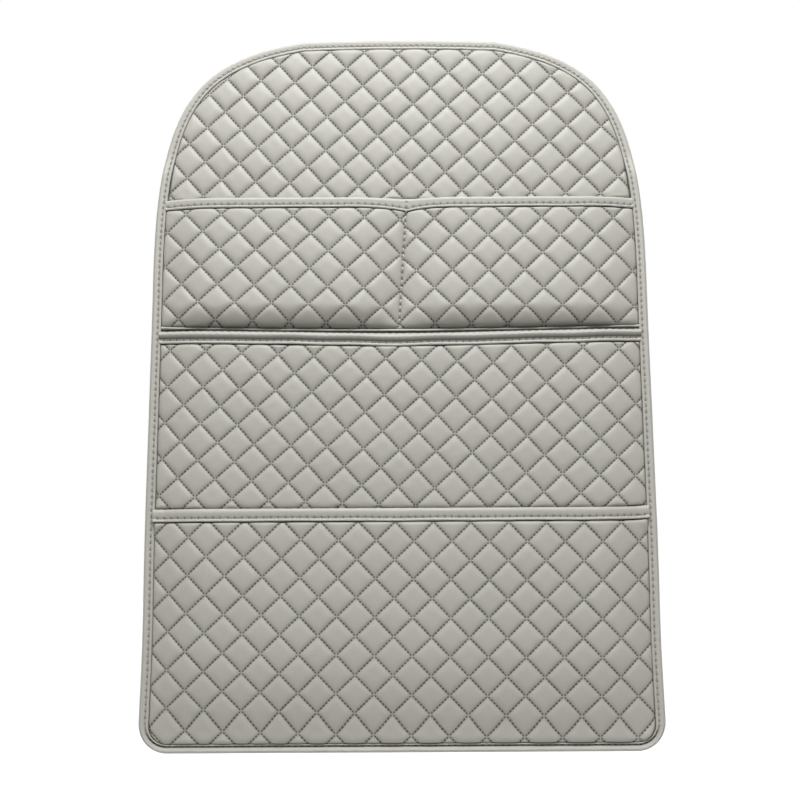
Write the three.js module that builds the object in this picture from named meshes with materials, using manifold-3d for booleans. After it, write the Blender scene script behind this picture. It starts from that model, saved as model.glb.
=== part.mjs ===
import * as THREE from 'three';
import { mergeVertices } from 'three/addons/utils/BufferGeometryUtils.js';
import Module from 'manifold-3d';

const wasm = await Module();
wasm.setup();

// A quilted faux-leather organizer for the back of a car seat, with four flat pockets.
// It is sewn from flat pieces: a back panel, three pocket panels, a rear lining and bindings.
// Millimetres, +Z up, the front faces -Y. The origin is on the fastening plane, at the middle
// of the upper hook strip. "Drop" is a distance below the top edge, and "out" is a distance
// in front of the fastening plane, so a point lies at (x, -out, topEdge - drop).

// Outline, seen from the front
const width = 440;
const height = 632;
const crownHalf = 88.6; // half the length of the nearly flat top edge
const crownDrop = 1.7; // how far that edge falls to its ends
const shoulderSlope = 0.17; // how steeply the shoulder curve starts
const shoulderFall = 231; // height of the shoulder curve
const shoulderTopPull = 0.83; // fullness of the curve at its top end, as a share of its run
const shoulderSidePull = 0.69; // and at its side end
const cornerRadius = 25; // bottom corners

// Layers, from the back to the front
const clear = 0.3; // between two pieces that are sewn together
const stripThick = 1.6;
const liningThick = 1;
const padThick = 2.8; // back panel at its stitches
const pocketThick = 2; // pocket panels at their stitches
const seamThick = 2.5; // pocket panels where the edge binding clamps them
const puff = 2.2; // how far a quilted cell stands above its stitches

// Quilting: diamonds, given by their diagonals
const diamondAcross = 31.4;
const diamondDown = 31.7;
const crownShare = 0.55; // size of the raised middle of a cell
const crownPuff = 0.85; // its height as a share of the puff

// Edge binding, folded round the whole outline
const edgeWidth = 8.9;
const edgeStitch = 6.1;
const edgeFold = 2.6; // depth of the fold outside the panels' edges
const tapeWall = 1.1;

// Mouth bindings and base tapes of the pockets
const rearWall = 0.9;
const mouthHem = 1.6; // thickness of the panel inside its mouth binding
const mouthFold = 1.8;
const hemLap = 4; // how far the hem runs into the quilted part
const tapeWidth = 4.6;
const tapeFold = 1;
const tapeHem = 1.3;

// Pockets: mouth and base are drops, gape is how far the mouth stands off
const upper = {
  name: 'upper', mouth: 154.8, base: 273.6, gape: 8, dip: 0, dipRun: 34, band: 9.5, stitch: 6.8, bulge: 0.3,
};
const middle = {
  name: 'middle', mouth: 276.5, base: 440, gape: 8, dip: 2.6, dipRun: 110, band: 11.7, stitch: 8.8, bulge: 0.9,
};
const lower = {
  name: 'lower', mouth: 431.7, base: height - edgeWidth, gape: 11.5, dip: 0, dipRun: 50, band: 10.8, stitch: 7.8,
  bulge: 0.4,
};
const sideRun = 50; // distance over which a pocket rises from a side or the centre seam
const baseRun = 70; // and from its base
const baseLap = 6; // how far the middle pocket's flat base hem runs up behind its quilting
// The upper pocket's centre seam: where it lies across at the mouth and at the base, and its sewn valley
const centreSeam = { top: 6.5, bottom: -1, halfWidth: 2, valley: 0.8 };

// Hook strips on the rear lining
const strip = { length: 260, height: 25, upperDrop: 60, lowerDrop: height - 72, radius: 3 };

// The quilted cloths: where one stitched crossing lies, how far the cloth is turned, and its stretch
const cloths = {
  top: { across: -2.9, drop: 78.7, turn: -2.6, stretch: 0.99 },
  upperLeft: { across: -15.5, drop: 222.8, turn: -1.4, stretch: 1.015 },
  upperRight: { across: 14.5, drop: 223.2, turn: -0.2, stretch: 1.01 },
  middle: { across: 0.2, drop: 350.4, turn: -2.5, stretch: 0.99 },
  lower: { across: -6.6, drop: 537.2, turn: -1, stretch: 0.995 },
};

const topEdge = strip.upperDrop;
const liningBack = stripThick + clear;
const panelBack = liningBack + liningThick + clear;
const panelFront = panelBack + padThick;
const pocketBack = panelFront + clear;
const edgeFront = pocketBack + seamThick + clear; // inside of the edge binding over a pocket
const edgeFrontTop = panelFront + clear; // and above the pockets
const quiltInset = edgeWidth + clear;
const reach = width / 2 + 20; // past the outline, for shapes that are trimmed by it
const farOut = 60; // in front of every piece

const place = (across, out, drop) => new THREE.Vector3(across, -out, topEdge - drop);

// Solids

function toSolid(geometry) {
  const bare = geometry.clone();
  bare.deleteAttribute('normal');
  bare.deleteAttribute('uv');
  const merged = mergeVertices(bare, 1e-5);
  const vertProperties = new Float32Array(merged.attributes.position.array);
  const triVerts = new Uint32Array(merged.index.array);
  return new wasm.Manifold(new wasm.Mesh({ numProp: 3, vertProperties, triVerts }));
}

function toGeometry(solid) {
  const { vertProperties, triVerts } = solid.getMesh();
  const geometry = new THREE.BufferGeometry();
  geometry.setAttribute('position', new THREE.BufferAttribute(vertProperties, 3));
  geometry.setIndex(new THREE.BufferAttribute(triVerts, 1));
  geometry.computeVertexNormals();
  return geometry;
}

// A flat outline of [across, drop] pairs, thickened from one "out" to another
function plate(outline, from, to) {
  const shape = new THREE.Shape(outline.map(([across, drop]) => new THREE.Vector2(across, topEdge - drop)));
  const geometry = new THREE.ExtrudeGeometry(shape, { depth: to - from, bevelEnabled: false });
  geometry.rotateX(Math.PI / 2);
  geometry.translate(0, -from, 0);
  return toSolid(geometry);
}

// A closed section carried along stations: rings of points, joined in a loop or capped
function sweep(rings, section, closed) {
  const count = section.length;
  const positions = rings.flat().flatMap((point) => point.toArray());
  const index = [];
  const last = closed ? rings.length : rings.length - 1;
  for (let r = 0; r < last; r += 1) {
    for (let k = 0; k < count; k += 1) {
      const a = r * count + k;
      const b = r * count + (k + 1) % count;
      const c = ((r + 1) % rings.length) * count + (k + 1) % count;
      const d = ((r + 1) % rings.length) * count + k;
      index.push(a, b, c, a, c, d);
    }
  }
  if (!closed) {
    const flat = section.map(([n, out]) => new THREE.Vector2(n, out));
    const end = (rings.length - 1) * count;
    for (const [a, b, c] of THREE.ShapeUtils.triangulateShape(flat, [])) {
      index.push(a, b, c, end + a, end + c, end + b);
    }
  }
  const geometry = new THREE.BufferGeometry();
  geometry.setAttribute('position', new THREE.Float32BufferAttribute(positions, 3));
  geometry.setIndex(index);
  return toSolid(geometry);
}

// Outline

// Points round the outline as [across, drop], clockwise from the left end of the crown
function outline() {
  const half = width / 2;
  const shoulder = crownDrop + shoulderFall;
  const topPull = (half - crownHalf) * shoulderTopPull;
  const sidePull = shoulderFall * shoulderSidePull;
  const pullDrop = crownDrop + topPull * shoulderSlope;
  const path = new THREE.Path();
  path.moveTo(-crownHalf, crownDrop);
  path.quadraticCurveTo(0, -crownDrop, crownHalf, crownDrop);
  path.bezierCurveTo(crownHalf + topPull, pullDrop, half, shoulder - sidePull, half, shoulder);
  path.lineTo(half, height - cornerRadius);
  path.absarc(half - cornerRadius, height - cornerRadius, cornerRadius, 0, Math.PI / 2, false);
  path.lineTo(cornerRadius - half, height);
  path.absarc(cornerRadius - half, height - cornerRadius, cornerRadius, Math.PI / 2, Math.PI, false);
  path.lineTo(-half, shoulder);
  path.bezierCurveTo(-half, shoulder - sidePull, -crownHalf - topPull, pullDrop, -crownHalf, crownDrop);
  const steps = { LineCurve: 1, QuadraticBezierCurve: 6, CubicBezierCurve: 16, EllipseCurve: 6 };
  return path.curves.flatMap((curve) => curve.getSpacedPoints(steps[curve.type]).slice(0, -1));
}

const edge = outline();

// The outline with, at each point, the way inwards, mitred between its two sides
const edgeInwards = edge.map((point, k) => {
  const before = edge.at(k - 1);
  const after = edge[(k + 1) % edge.length];
  const one = point.clone().sub(before).normalize();
  const two = after.clone().sub(point).normalize();
  const normal = new THREE.Vector2(-(one.y + two.y), one.x + two.x).normalize();
  return normal.divideScalar(Math.sqrt((1 + one.dot(two)) / 2));
});

const insetOutline = (inset) => edge.map((point, k) => [
  point.x + inset * edgeInwards[k].x,
  point.y + inset * edgeInwards[k].y,
]);

// Pocket lines

const rise = (distance, run) => Math.sin((Math.PI / 2) * THREE.MathUtils.clamp(distance / run, 0, 1));

// Where the centre seam of the upper pocket lies at a drop
function seamAt(drop) {
  return THREE.MathUtils.mapLinear(drop, upper.mouth, upper.base, centreSeam.top, centreSeam.bottom);
}

const middleOf = (pocket) => (pocket === upper ? seamAt(upper.mouth) : 0);

// The mouth's edge sags by a bell-shaped dip at its middle
function mouthDrop(pocket, across) {
  return pocket.mouth + pocket.dip * Math.exp(-(((across - middleOf(pocket)) / pocket.dipRun) ** 2));
}

// How far a pocket panel stands off the back panel. seamSide is -1 or 1 for the halves of the
// upper pocket, whose panel is sewn down along the centre seam.
function lift(pocket, across, drop, seamSide = 0) {
  const fromSide = width / 2 - quiltInset - Math.abs(across);
  const fromSeam = seamSide * (across - seamAt(drop));
  const fromSeamRise = seamSide ? rise(fromSeam, sideRun) : 1;
  return pocket.gape * rise(fromSide, sideRun) * rise(pocket.base - drop, baseRun) * fromSeamRise;
}

// At its ends a mouth leaves room for the rear leg of its binding, and the lower mouth for the
// base hem of the middle pocket too
function leastLift(pocket) {
  const leg = rearWall + clear;
  return pocket === lower ? seamThick + clear + leg : leg;
}

// The back of a pocket panel along its mouth
function mouthBack(pocket, across) {
  const drop = mouthDrop(pocket, across);
  const seamSide = pocket === upper ? Math.sign(across - seamAt(drop)) || 1 : 0;
  return pocketBack + Math.max(leastLift(pocket), lift(pocket, across, drop, seamSide));
}

// Places across the object: close together where a mouth dips or bends down to a side
function stations(pocket) {
  const centre = middleOf(pocket);
  const dipSteps = { upper: [0.5, 1, 1.5, 2], middle: [0.5, 1], lower: [] }[pocket.name];
  const bendSteps = [1, 0.7, 0.4, 0.2, 0];
  const dips = dipSteps.map((n) => n * pocket.dipRun);
  const sides = [...bendSteps.map((n) => width / 2 - quiltInset - n * sideRun), reach];
  return [
    ...sides.toReversed().map((x) => -x),
    ...dips.toReversed().map((x) => centre - x),
    centre,
    ...dips.map((x) => centre + x),
    ...sides,
  ];
}

// The region between two lines that run across, as an outline
function between(topLine, bottomLine, topPocket, bottomPocket) {
  const across = (pocket) => (pocket ? stations(pocket) : [-reach, reach]);
  return [
    ...across(topPocket).map((x) => [x, topLine(x)]),
    ...across(bottomPocket).toReversed().map((x) => [x, bottomLine(x)]),
  ];
}

// Quilting

// A closed slab over a lattice of diamond cells. A cell has its four corners at the stitches,
// a raised smaller diamond and a crown point; front and back give "out" for (across, drop).
function quiltedSlab(cloth, region, front, back) {
  const turn = THREE.MathUtils.degToRad(cloth.turn);
  const halfAcross = (diamondAcross * cloth.stretch) / 2;
  const halfDown = (diamondDown * cloth.stretch) / 2;
  // Lattice steps p and q run along the two families of stitch lines
  const spot = (p, q) => {
    const u = (p + q) * halfAcross;
    const v = (p - q) * halfDown;
    const across = cloth.across + u * Math.cos(turn) + v * Math.sin(turn);
    const drop = cloth.drop - u * Math.sin(turn) + v * Math.cos(turn);
    return [across, drop];
  };
  const cornersOf = (box) => [
    [box.left, box.top],
    [box.right, box.top],
    [box.left, box.bottom],
    [box.right, box.bottom],
  ];
  const steps = cornersOf(region).map(([across, drop]) => {
    const dx = across - cloth.across;
    const dz = drop - cloth.drop;
    const u = (dx * Math.cos(turn) - dz * Math.sin(turn)) / halfAcross;
    const v = (dx * Math.sin(turn) + dz * Math.cos(turn)) / halfDown;
    return [(u + v) / 2, (u - v) / 2];
  });
  const first = [0, 1].map((axis) => Math.floor(Math.min(...steps.map((s) => s[axis]))) - 1);
  const last = [0, 1].map((axis) => Math.ceil(Math.max(...steps.map((s) => s[axis]))) + 1);

  const positions = [];
  const index = [];
  const add = (p, q, face, raise) => {
    const [across, drop] = spot(p, q);
    positions.push(...place(across, face(across, drop) + raise, drop).toArray());
    return positions.length / 3 - 1;
  };
  const columns = last[0] - first[0] + 1;
  const rows = last[1] - first[1] + 1;
  const frontNodes = [];
  const backNodes = [];
  for (let p = 0; p < columns; p += 1) {
    for (let q = 0; q < rows; q += 1) {
      frontNodes.push(add(first[0] + p, first[1] + q, front, 0));
      backNodes.push(add(first[0] + p, first[1] + q, back, 0));
    }
  }
  const at = (p, q) => p * rows + q;
  for (let p = 0; p < columns - 1; p += 1) {
    for (let q = 0; q < rows - 1; q += 1) {
      const corners = [at(p, q), at(p + 1, q), at(p + 1, q + 1), at(p, q + 1)];
      const middleP = first[0] + p + 0.5;
      const middleQ = first[1] + q + 0.5;
      const half = crownShare / 2;
      const inner = [[-half, -half], [half, -half], [half, half], [-half, half]].map(
        ([dp, dq]) => add(middleP + dp, middleQ + dq, front, puff * crownPuff),
      );
      const crown = add(middleP, middleQ, front, puff);
      for (let k = 0; k < 4; k += 1) {
        const next = (k + 1) % 4;
        const a = frontNodes[corners[k]];
        const b = frontNodes[corners[next]];
        index.push(a, b, inner[next], a, inner[next], inner[k], inner[k], inner[next], crown);
      }
      const [a, b, c, d] = corners.map((corner) => backNodes[corner]);
      index.push(a, c, b, a, d, c);
    }
  }
  const wall = (one, two) => {
    index.push(frontNodes[one], backNodes[one], backNodes[two]);
    index.push(frontNodes[one], backNodes[two], frontNodes[two]);
  };
  for (let p = 0; p < columns - 1; p += 1) {
    wall(at(p, 0), at(p + 1, 0));
    wall(at(p + 1, rows - 1), at(p, rows - 1));
  }
  for (let q = 0; q < rows - 1; q += 1) {
    wall(at(0, q + 1), at(0, q));
    wall(at(columns - 1, q), at(columns - 1, q + 1));
  }
  const geometry = new THREE.BufferGeometry();
  geometry.setAttribute('position', new THREE.Float32BufferAttribute(positions, 3));
  geometry.setIndex(index);
  return toSolid(geometry);
}

// Bindings

// A folded tape in section, as [distance from the fold, out] pairs: rear leg, fold, front leg
// with its stitch groove and lip, and back along the inside. The inside is `inner` wide.
function foldedTape({ band, stitch, fold, inner, rear, bulge }) {
  const face = inner + tapeWall;
  const middleOut = (face - rear) / 2;
  const foldSteps = 4;
  const arc = Array.from({ length: foldSteps + 1 }, (_, k) => {
    const angle = Math.PI * (k / foldSteps - 0.5);
    return [fold * (1 - Math.cos(angle)), middleOut + (middleOut + rear) * Math.sin(angle)];
  });
  const grooveHalf = 0.8;
  const grooveDeep = 0.5;
  return [
    [band, -rear],
    ...arc,
    [(fold + stitch) / 2, face + bulge],
    [stitch - grooveHalf, face + bulge / 2],
    [stitch, face - grooveDeep],
    [stitch + grooveHalf, face],
    [band - grooveHalf, face],
    [band, face - grooveDeep],
    [band, inner],
    [fold, inner],
    [fold - rear, inner / 2],
    [fold, 0],
    [band, 0],
  ];
}

function edgeBinding() {
  // Above the pockets the stack is thinner, so the front leg steps in above the upper mouth
  const rampEnd = upper.mouth - 20;
  const rampStart = rampEnd - 25;
  const base = stripThick;
  const insideAt = (drop) => {
    const share = THREE.MathUtils.smoothstep(drop, rampStart, rampEnd);
    return THREE.MathUtils.lerp(edgeFrontTop, edgeFront, share) - base;
  };
  const sectionAt = (drop) => foldedTape({
    band: edgeWidth,
    stitch: edgeStitch,
    fold: edgeFold - clear,
    inner: insideAt(drop),
    rear: tapeWall,
    bulge: 0.2,
  });
  const rings = edge.map((point, k) => sectionAt(point.y).map(([inset, out]) => place(
    point.x + inset * edgeInwards[k].x,
    base + out,
    point.y + inset * edgeInwards[k].y,
  )));
  return sweep(rings, sectionAt(0), true);
}

function mouthBinding(pocket) {
  const section = foldedTape({
    band: pocket.band,
    stitch: pocket.stitch,
    fold: mouthFold - clear,
    inner: mouthHem + 2 * clear,
    rear: rearWall,
    bulge: pocket.bulge,
  });
  const rings = stations(pocket).map((across) => section.map(([down, out]) => place(
    across,
    mouthBack(pocket, across) - clear + out,
    mouthDrop(pocket, across) + down,
  )));
  return sweep(rings, section, false).intersect(plate(insetOutline(quiltInset), 0, farOut));
}

function baseTape() {
  const section = foldedTape({
    band: tapeWidth,
    stitch: tapeWidth / 2 + 0.6,
    fold: tapeFold,
    inner: tapeHem + 2 * clear,
    rear: 0.7,
    bulge: 0,
  });
  const base = pocketBack + 0.7;
  const ringAt = (across) => section.map(([up, out]) => place(across, base + out, upper.base - up));
  const rings = [reach, -reach].map(ringAt);
  return sweep(rings, section, false).intersect(plate(insetOutline(quiltInset), 0, farOut));
}

// Panels

// Where the quilted part of a pocket panel starts, below its mouth binding
const bandEnd = (pocket) => (across) => mouthDrop(pocket, across) + pocket.band + clear;

// The hem of a pocket panel inside its mouth binding
function mouthHemStrip(pocket) {
  const top = mouthFold;
  const bottom = pocket.band + clear + hemLap;
  const section = [[top, 0], [top, mouthHem], [bottom, mouthHem], [bottom, 0]];
  const rings = stations(pocket).map((across) => section.map(([down, out]) => place(
    across,
    mouthBack(pocket, across) + out,
    mouthDrop(pocket, across) + down,
  )));
  return sweep(rings, section, false).intersect(plate(insetOutline(quiltInset), 0, farOut));
}

// The seam allowance of a pocket panel, which the edge binding clamps
function sideAllowance(pocket, base) {
  const lap = 5;
  const ring = plate(insetOutline(edgeFold), pocketBack, pocketBack + seamThick)
    .subtract(plate(insetOutline(quiltInset + lap), 0, farOut));
  return ring.intersect(plate(between(bandEnd(pocket), () => base, pocket), 0, farOut));
}

function quiltedPart(pocket, cloth, seamSide, baseLine) {
  const back = (across, drop) => pocketBack + lift(pocket, across, drop, seamSide);
  const front = (across, drop) => back(across, drop) + pocketThick;
  const region = { left: -width / 2, right: width / 2, top: pocket.mouth, bottom: pocket.base };
  const rows = plate(between(bandEnd(pocket), baseLine, pocket), 0, farOut);
  const field = plate(insetOutline(quiltInset), 0, farOut).intersect(rows);
  return quiltedSlab(cloth, region, front, back).intersect(field);
}

function upperPocketPanel() {
  const seamLine = (offset) => [[seamAt(0) + offset, 0], [seamAt(height) + offset, height]];
  const leftOf = (line) => plate([[-reach, 0], ...line, [-reach, height]], 0, farOut);
  const baseLine = () => upper.base - tapeWidth - clear;
  const valley = centreSeam.valley / 2;
  const left = quiltedPart(upper, cloths.upperLeft, -1, baseLine).intersect(leftOf(seamLine(-valley)));
  const right = quiltedPart(upper, cloths.upperRight, 1, baseLine).subtract(leftOf(seamLine(valley)));
  const seamOutline = [...seamLine(-centreSeam.halfWidth), ...seamLine(centreSeam.halfWidth).toReversed()];
  const seam = plate(seamOutline, pocketBack, pocketBack + seamThick)
    .intersect(plate(between(bandEnd(upper), baseLine, upper), 0, farOut));
  return left.add(right).add(seam).add(mouthHemStrip(upper)).add(upperBaseHem())
    .add(sideAllowance(upper, baseLine()));
}

// The hem of the upper pocket panel inside its base tape
function upperBaseHem() {
  const top = () => upper.base - tapeWidth - clear - hemLap;
  const bottom = () => upper.base - tapeFold - clear;
  const from = pocketBack + 0.7 + clear;
  const hem = plate(between(top, bottom), from, from + tapeHem);
  return hem.intersect(plate(insetOutline(quiltInset), 0, farOut));
}

// Its flat base hem is sewn to the back panel, behind the lower mouth
function middlePocketPanel() {
  const quiltEnd = () => lower.mouth - clear;
  const rows = between(() => quiltEnd() - baseLap, () => middle.base);
  const hem = plate(rows, pocketBack, pocketBack + seamThick)
    .intersect(plate(insetOutline(quiltInset), 0, farOut));
  return quiltedPart(middle, cloths.middle, 0, quiltEnd).add(mouthHemStrip(middle)).add(hem)
    .add(sideAllowance(middle, middle.base));
}

function lowerPocketPanel() {
  return quiltedPart(lower, cloths.lower, 0, () => height).add(mouthHemStrip(lower))
    .add(sideAllowance(lower, height));
}

function backPanel() {
  const sheet = plate(insetOutline(edgeFold), panelBack, panelFront);
  const quiltBottom = (x) => mouthDrop(upper, x) - clear;
  const rows = plate(between(() => -reach, quiltBottom, null, upper), 0, farOut);
  const field = plate(insetOutline(quiltInset), 0, farOut).intersect(rows);
  const region = { left: -width / 2, right: width / 2, top: 0, bottom: upper.mouth + upper.dip };
  const quilt = quiltedSlab(cloths.top, region, () => panelFront + clear, () => panelFront - padThick / 2);
  return sheet.add(quilt.intersect(field));
}

const rearLining = () => plate(insetOutline(edgeFold), liningBack, liningBack + liningThick);

function hookStrip(drop) {
  const { length, height: tall, radius } = strip;
  const path = new THREE.Path();
  path.absarc(length / 2 - radius, drop + tall / 2 - radius, radius, 0, Math.PI / 2, false);
  path.absarc(radius - length / 2, drop + tall / 2 - radius, radius, Math.PI / 2, Math.PI, false);
  path.absarc(radius - length / 2, drop - tall / 2 + radius, radius, Math.PI, 1.5 * Math.PI, false);
  path.absarc(length / 2 - radius, drop - tall / 2 + radius, radius, 1.5 * Math.PI, 2 * Math.PI, false);
  return plate(path.getPoints(3).map((point) => [point.x, point.y]), 0, stripThick);
}

// Materials
const finish = (color, roughness) => new THREE.MeshStandardMaterial({ color, roughness, metalness: 0 });
const quiltedLeather = () => finish('#c8c5bc', 0.5);
const bindingLeather = () => finish('#c2beb4', 0.45);
const liningCloth = () => finish('#8d8b86', 0.95);
const hookTape = () => finish('#55544f', 0.9);

const pieces = [
  ['rear_lining', rearLining(), liningCloth()],
  ['back_panel', backPanel(), quiltedLeather()],
  ['upper_pocket_panel', upperPocketPanel(), quiltedLeather()],
  ['middle_pocket_panel', middlePocketPanel(), quiltedLeather()],
  ['lower_pocket_panel', lowerPocketPanel(), quiltedLeather()],
  ['upper_mouth_binding', mouthBinding(upper), bindingLeather()],
  ['middle_mouth_binding', mouthBinding(middle), bindingLeather()],
  ['lower_mouth_binding', mouthBinding(lower), bindingLeather()],
  ['upper_base_tape', baseTape(), bindingLeather()],
  ['edge_binding', edgeBinding(), bindingLeather()],
  ['upper_hook_strip', hookStrip(strip.upperDrop), hookTape()],
  ['lower_hook_strip', hookStrip(strip.lowerDrop), hookTape()],
];

const organizer = new THREE.Group();
for (const [name, solid, material] of pieces) {
  const mesh = new THREE.Mesh(toGeometry(solid), material);
  mesh.name = name;
  organizer.add(mesh);
}

export default organizer;
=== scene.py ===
"""Quilted car seat back organizer: stitched panels, pockets, bindings, lining and hook strips."""

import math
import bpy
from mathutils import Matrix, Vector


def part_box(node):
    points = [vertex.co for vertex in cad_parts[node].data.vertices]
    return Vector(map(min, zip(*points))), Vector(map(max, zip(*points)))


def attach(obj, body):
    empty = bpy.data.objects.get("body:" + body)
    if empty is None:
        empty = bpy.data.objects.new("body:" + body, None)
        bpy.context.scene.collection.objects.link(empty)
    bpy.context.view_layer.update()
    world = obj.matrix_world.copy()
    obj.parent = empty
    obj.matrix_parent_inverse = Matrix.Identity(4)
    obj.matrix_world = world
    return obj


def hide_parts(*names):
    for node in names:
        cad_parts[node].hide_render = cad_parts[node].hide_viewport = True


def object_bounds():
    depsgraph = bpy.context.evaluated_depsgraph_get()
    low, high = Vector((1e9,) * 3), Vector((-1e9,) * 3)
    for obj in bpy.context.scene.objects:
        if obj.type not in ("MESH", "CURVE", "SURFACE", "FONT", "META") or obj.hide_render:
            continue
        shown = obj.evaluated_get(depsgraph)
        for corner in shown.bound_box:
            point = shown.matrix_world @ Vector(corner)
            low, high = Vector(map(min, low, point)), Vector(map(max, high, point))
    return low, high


bl_info = {
    "name": "Seat back organizer",
    "version": (1, 0, 0),
    "blender": (4, 5, 0),
    "location": "View3D > Sidebar > Organizer",
    "description": "Quilted leather organizer for the back of a car seat",
    "category": "Add Mesh",
}

import bpy
import numpy as np
from mathutils import Euler

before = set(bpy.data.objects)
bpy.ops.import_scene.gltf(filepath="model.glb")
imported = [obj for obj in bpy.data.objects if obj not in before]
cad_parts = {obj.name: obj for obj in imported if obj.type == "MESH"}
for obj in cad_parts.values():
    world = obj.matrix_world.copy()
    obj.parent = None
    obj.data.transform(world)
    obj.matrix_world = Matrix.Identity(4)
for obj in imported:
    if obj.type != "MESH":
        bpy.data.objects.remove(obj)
CAD_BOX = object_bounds()

# Measures are in millimetres here and become metres in spots(). "Across" is to the right,
# "out" is in front of the fastening plane, and "drop" is below the top edge.
MM = 0.001
EDGE_LOW, EDGE_HIGH = [np.array(corner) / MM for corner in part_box("edge_binding")]
TOP_EDGE = EDGE_HIGH[2]
HALF_WIDTH = (EDGE_HIGH[0] - EDGE_LOW[0]) / 2
HEIGHT = EDGE_HIGH[2] - EDGE_LOW[2]

# Outline: a low crown, two shoulders, straight sides and round lower corners
CROWN_HALF = 88.6
CROWN_DROP = 1.7
SHOULDER_SLOPE = 0.17
SHOULDER_FALL = 231.0
SHOULDER_PULLS = (0.83, 0.69)
CORNER_RADIUS = 25.0

# Layers, counted outwards from the fastening plane, and the walls of the tapes
CLEAR = 0.3
LINING_BACK = 1.9
PANEL_BACK = 3.2
PANEL_FRONT = 6.0
POCKET_BACK = 6.3
POCKET_THICK = 2.0
SEAM_FRONT = 8.8
TAPE_WALL = 1.1
REAR_WALL = 0.9

# Drops at which the back panel and its lining start and end
PANEL_TOP = 3.4
PANEL_FOOT = HEIGHT - 2.8

# Edge binding: its width, how far its stitches lie from the outline, the depth of its fold, how
# far out its inside starts, where the panels are sewn in, and how much narrower its bottom is
EDGE_WIDTH = 8.9
EDGE_STITCH = 6.1
EDGE_FOLD = 2.3
EDGE_BACK = 1.6
SIDE_SEAM = 7.7
BOTTOM_NARROWING = 1.6

# Pockets: the width of the upper one's base tape, half a mouth's length, the fold and inner
# depth of its binding, the run over which a panel rises from a seam, where across the centre
# seam starts and ends and how far below the mouth its stitches start, and the two ends of the
# dart in the middle panel
BASE_BAND = 2.5
MOUTH_HALF = 212.0
MOUTH_FOLD = 1.5
MOUTH_INSIDE = 2.2
SIDE_RUN = 50.0
SEAM_TOP = 6.5
SEAM_BOTTOM = -1.0
SEAM_START = 3.2
DART = ((202.0, 285.4), (210.6, 293.6))


class Cloth:
    """One quilted cloth. Its stitched crossings lie at steps across and down from a corner,
    half a cell each, turned a little, and a slight warp bends their rows. A pull shifts the
    cloth near one side: the axis, where it starts and ends, and how far."""

    def __init__(self, corner, step, turn, middle, warp_across, warp_down, *pulls):
        self.corner = corner
        self.step = step
        self.turn = turn
        self.middle = middle
        self.warps = (warp_across, warp_down)
        self.pulls = pulls

    def warp(self, across, drop):
        """How far the rows are bent across and down: a quadratic in the place, and the pulls."""
        x, d = across / 220, (drop - self.middle) / 100
        bends = [w[0] * x * x + w[1] * x * d + w[2] * d * d for w in self.warps]
        for axis, start, end, pull in self.pulls:
            share = ease((across, drop)[axis], start, end)
            bends = [bend + amount * share for bend, amount in zip(bends, pull)]
        return bends

    def lattice(self, across, drop):
        """Steps along the two families of stitch lines; a line lies at each whole number."""
        x, d = across, drop
        for _ in range(3):
            bend_x, bend_d = self.warp(x, d)
            x, d = across - bend_x, drop - bend_d
        x, d = x - self.corner[0], d - self.corner[1]
        size = self.step[0] * self.step[1] - self.turn[0] * self.turn[1]
        right = (x * self.step[1] - d * self.turn[0]) / size
        down = (d * self.step[0] - x * self.turn[1]) / size
        return (right + down) / 2, (right - down) / 2

    def place(self, p, q):
        """The reverse of lattice(): across and drop of a lattice point."""
        right, down = p + q, p - q
        x = self.corner[0] + self.step[0] * right + self.turn[0] * down
        d = self.corner[1] + self.turn[1] * right + self.step[1] * down
        bend_x, bend_d = self.warp(x, d)
        return x + bend_x, d + bend_d


TOP_CLOTH = Cloth((-176.579, 119.188), (15.579, 16.094), (-0.654, 0.711), 79.2,
                  (0.969, -0.751, 0.141), (-2.365, -0.934, 0.648))
UPPER_LEFT_CLOTH = Cloth((-189.823, 170.273), (15.902, 16.084), (-0.211, 0.387), 222.8,
                         (-2.211, 3.425, -2.232), (-0.624, 1.758, -1.065), (1, 215.0, 248.0, (0.4, 0.9)),
                         (1, 250.0, 270.0, (-0.4, -0.9)))
UPPER_RIGHT_CLOTH = Cloth((30.708, 175.356), (15.819, 15.845), (-0.022, 0.288), 223.2,
                          (2.118, 0.566, 0.474), (-3.253, 0.971, -1.854), (1, 215.0, 248.0, (-0.4, 0.9)),
                          (1, 250.0, 270.0, (0.4, -0.9)))
MIDDLE_CLOTH = Cloth((-184.237, 311.394), (15.539, 15.781), (-0.751, 0.658), 349.9,
                     (-1.324, -0.176, -0.29), (-1.087, -0.152, -0.483),
                     (0, 130.0, 215.0, (1.9, -0.5)), (0, -150.0, -215.0, (-0.8, 0.0)))
LOWER_CLOTH = Cloth((-194.035, 472.067), (15.709, 15.658), (-0.322, 0.273), 536.5,
                    (0.454, -2.608, 0.264), (-1.84, 0.967, -0.754), (1, 599.0, 614.0, (0.0, 2.0)))

# Quilting: millimetres and stitches to a side of a cell, the seed of the back panel's
# unevenness, and how much more the seed is right of the centre seam
CELL_SIDE = 22.3
STITCHES_PER_SIDE = 7
TOP_SEED = 11
RIGHT_SEED = 5

# Sewing: the share of its pitch by which a topstitch is short at each end, and a distance from
# the stitches, in a tape's map, at which no needle hole shows
STITCH_GAP = 0.1
NO_HOLE = 5.0


class Pocket:
    """The measures of one pocket panel and of the binding on its mouth.

    mouth, base: drop of each; gape: how far the panel stands off the back panel
    dip, rises: how far the mouth sags in its middle and rises at its left and right end, and
    the run of that rise; base_run: how far up from the base the panel reaches its full gape
    belly: how much more it stands off towards its base; least: the least it stands off at its
    mouth; hem: how much thicker the panel's foot is; cloths: left and right of its middle
    seed: of its unevenness; seamed: whether the centre seam draws it in
    band, stitch: the binding's width, and its stitches' distance from its fold; bulge, groove,
    turn, shadow, overhung: its section, as in tape_section(), the last two painted shade; slack:
    how uneven it is; scallops: how deep its stitches draw its fold in
    """

    def __init__(self, **measures):
        self.__dict__.update(measures)


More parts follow.
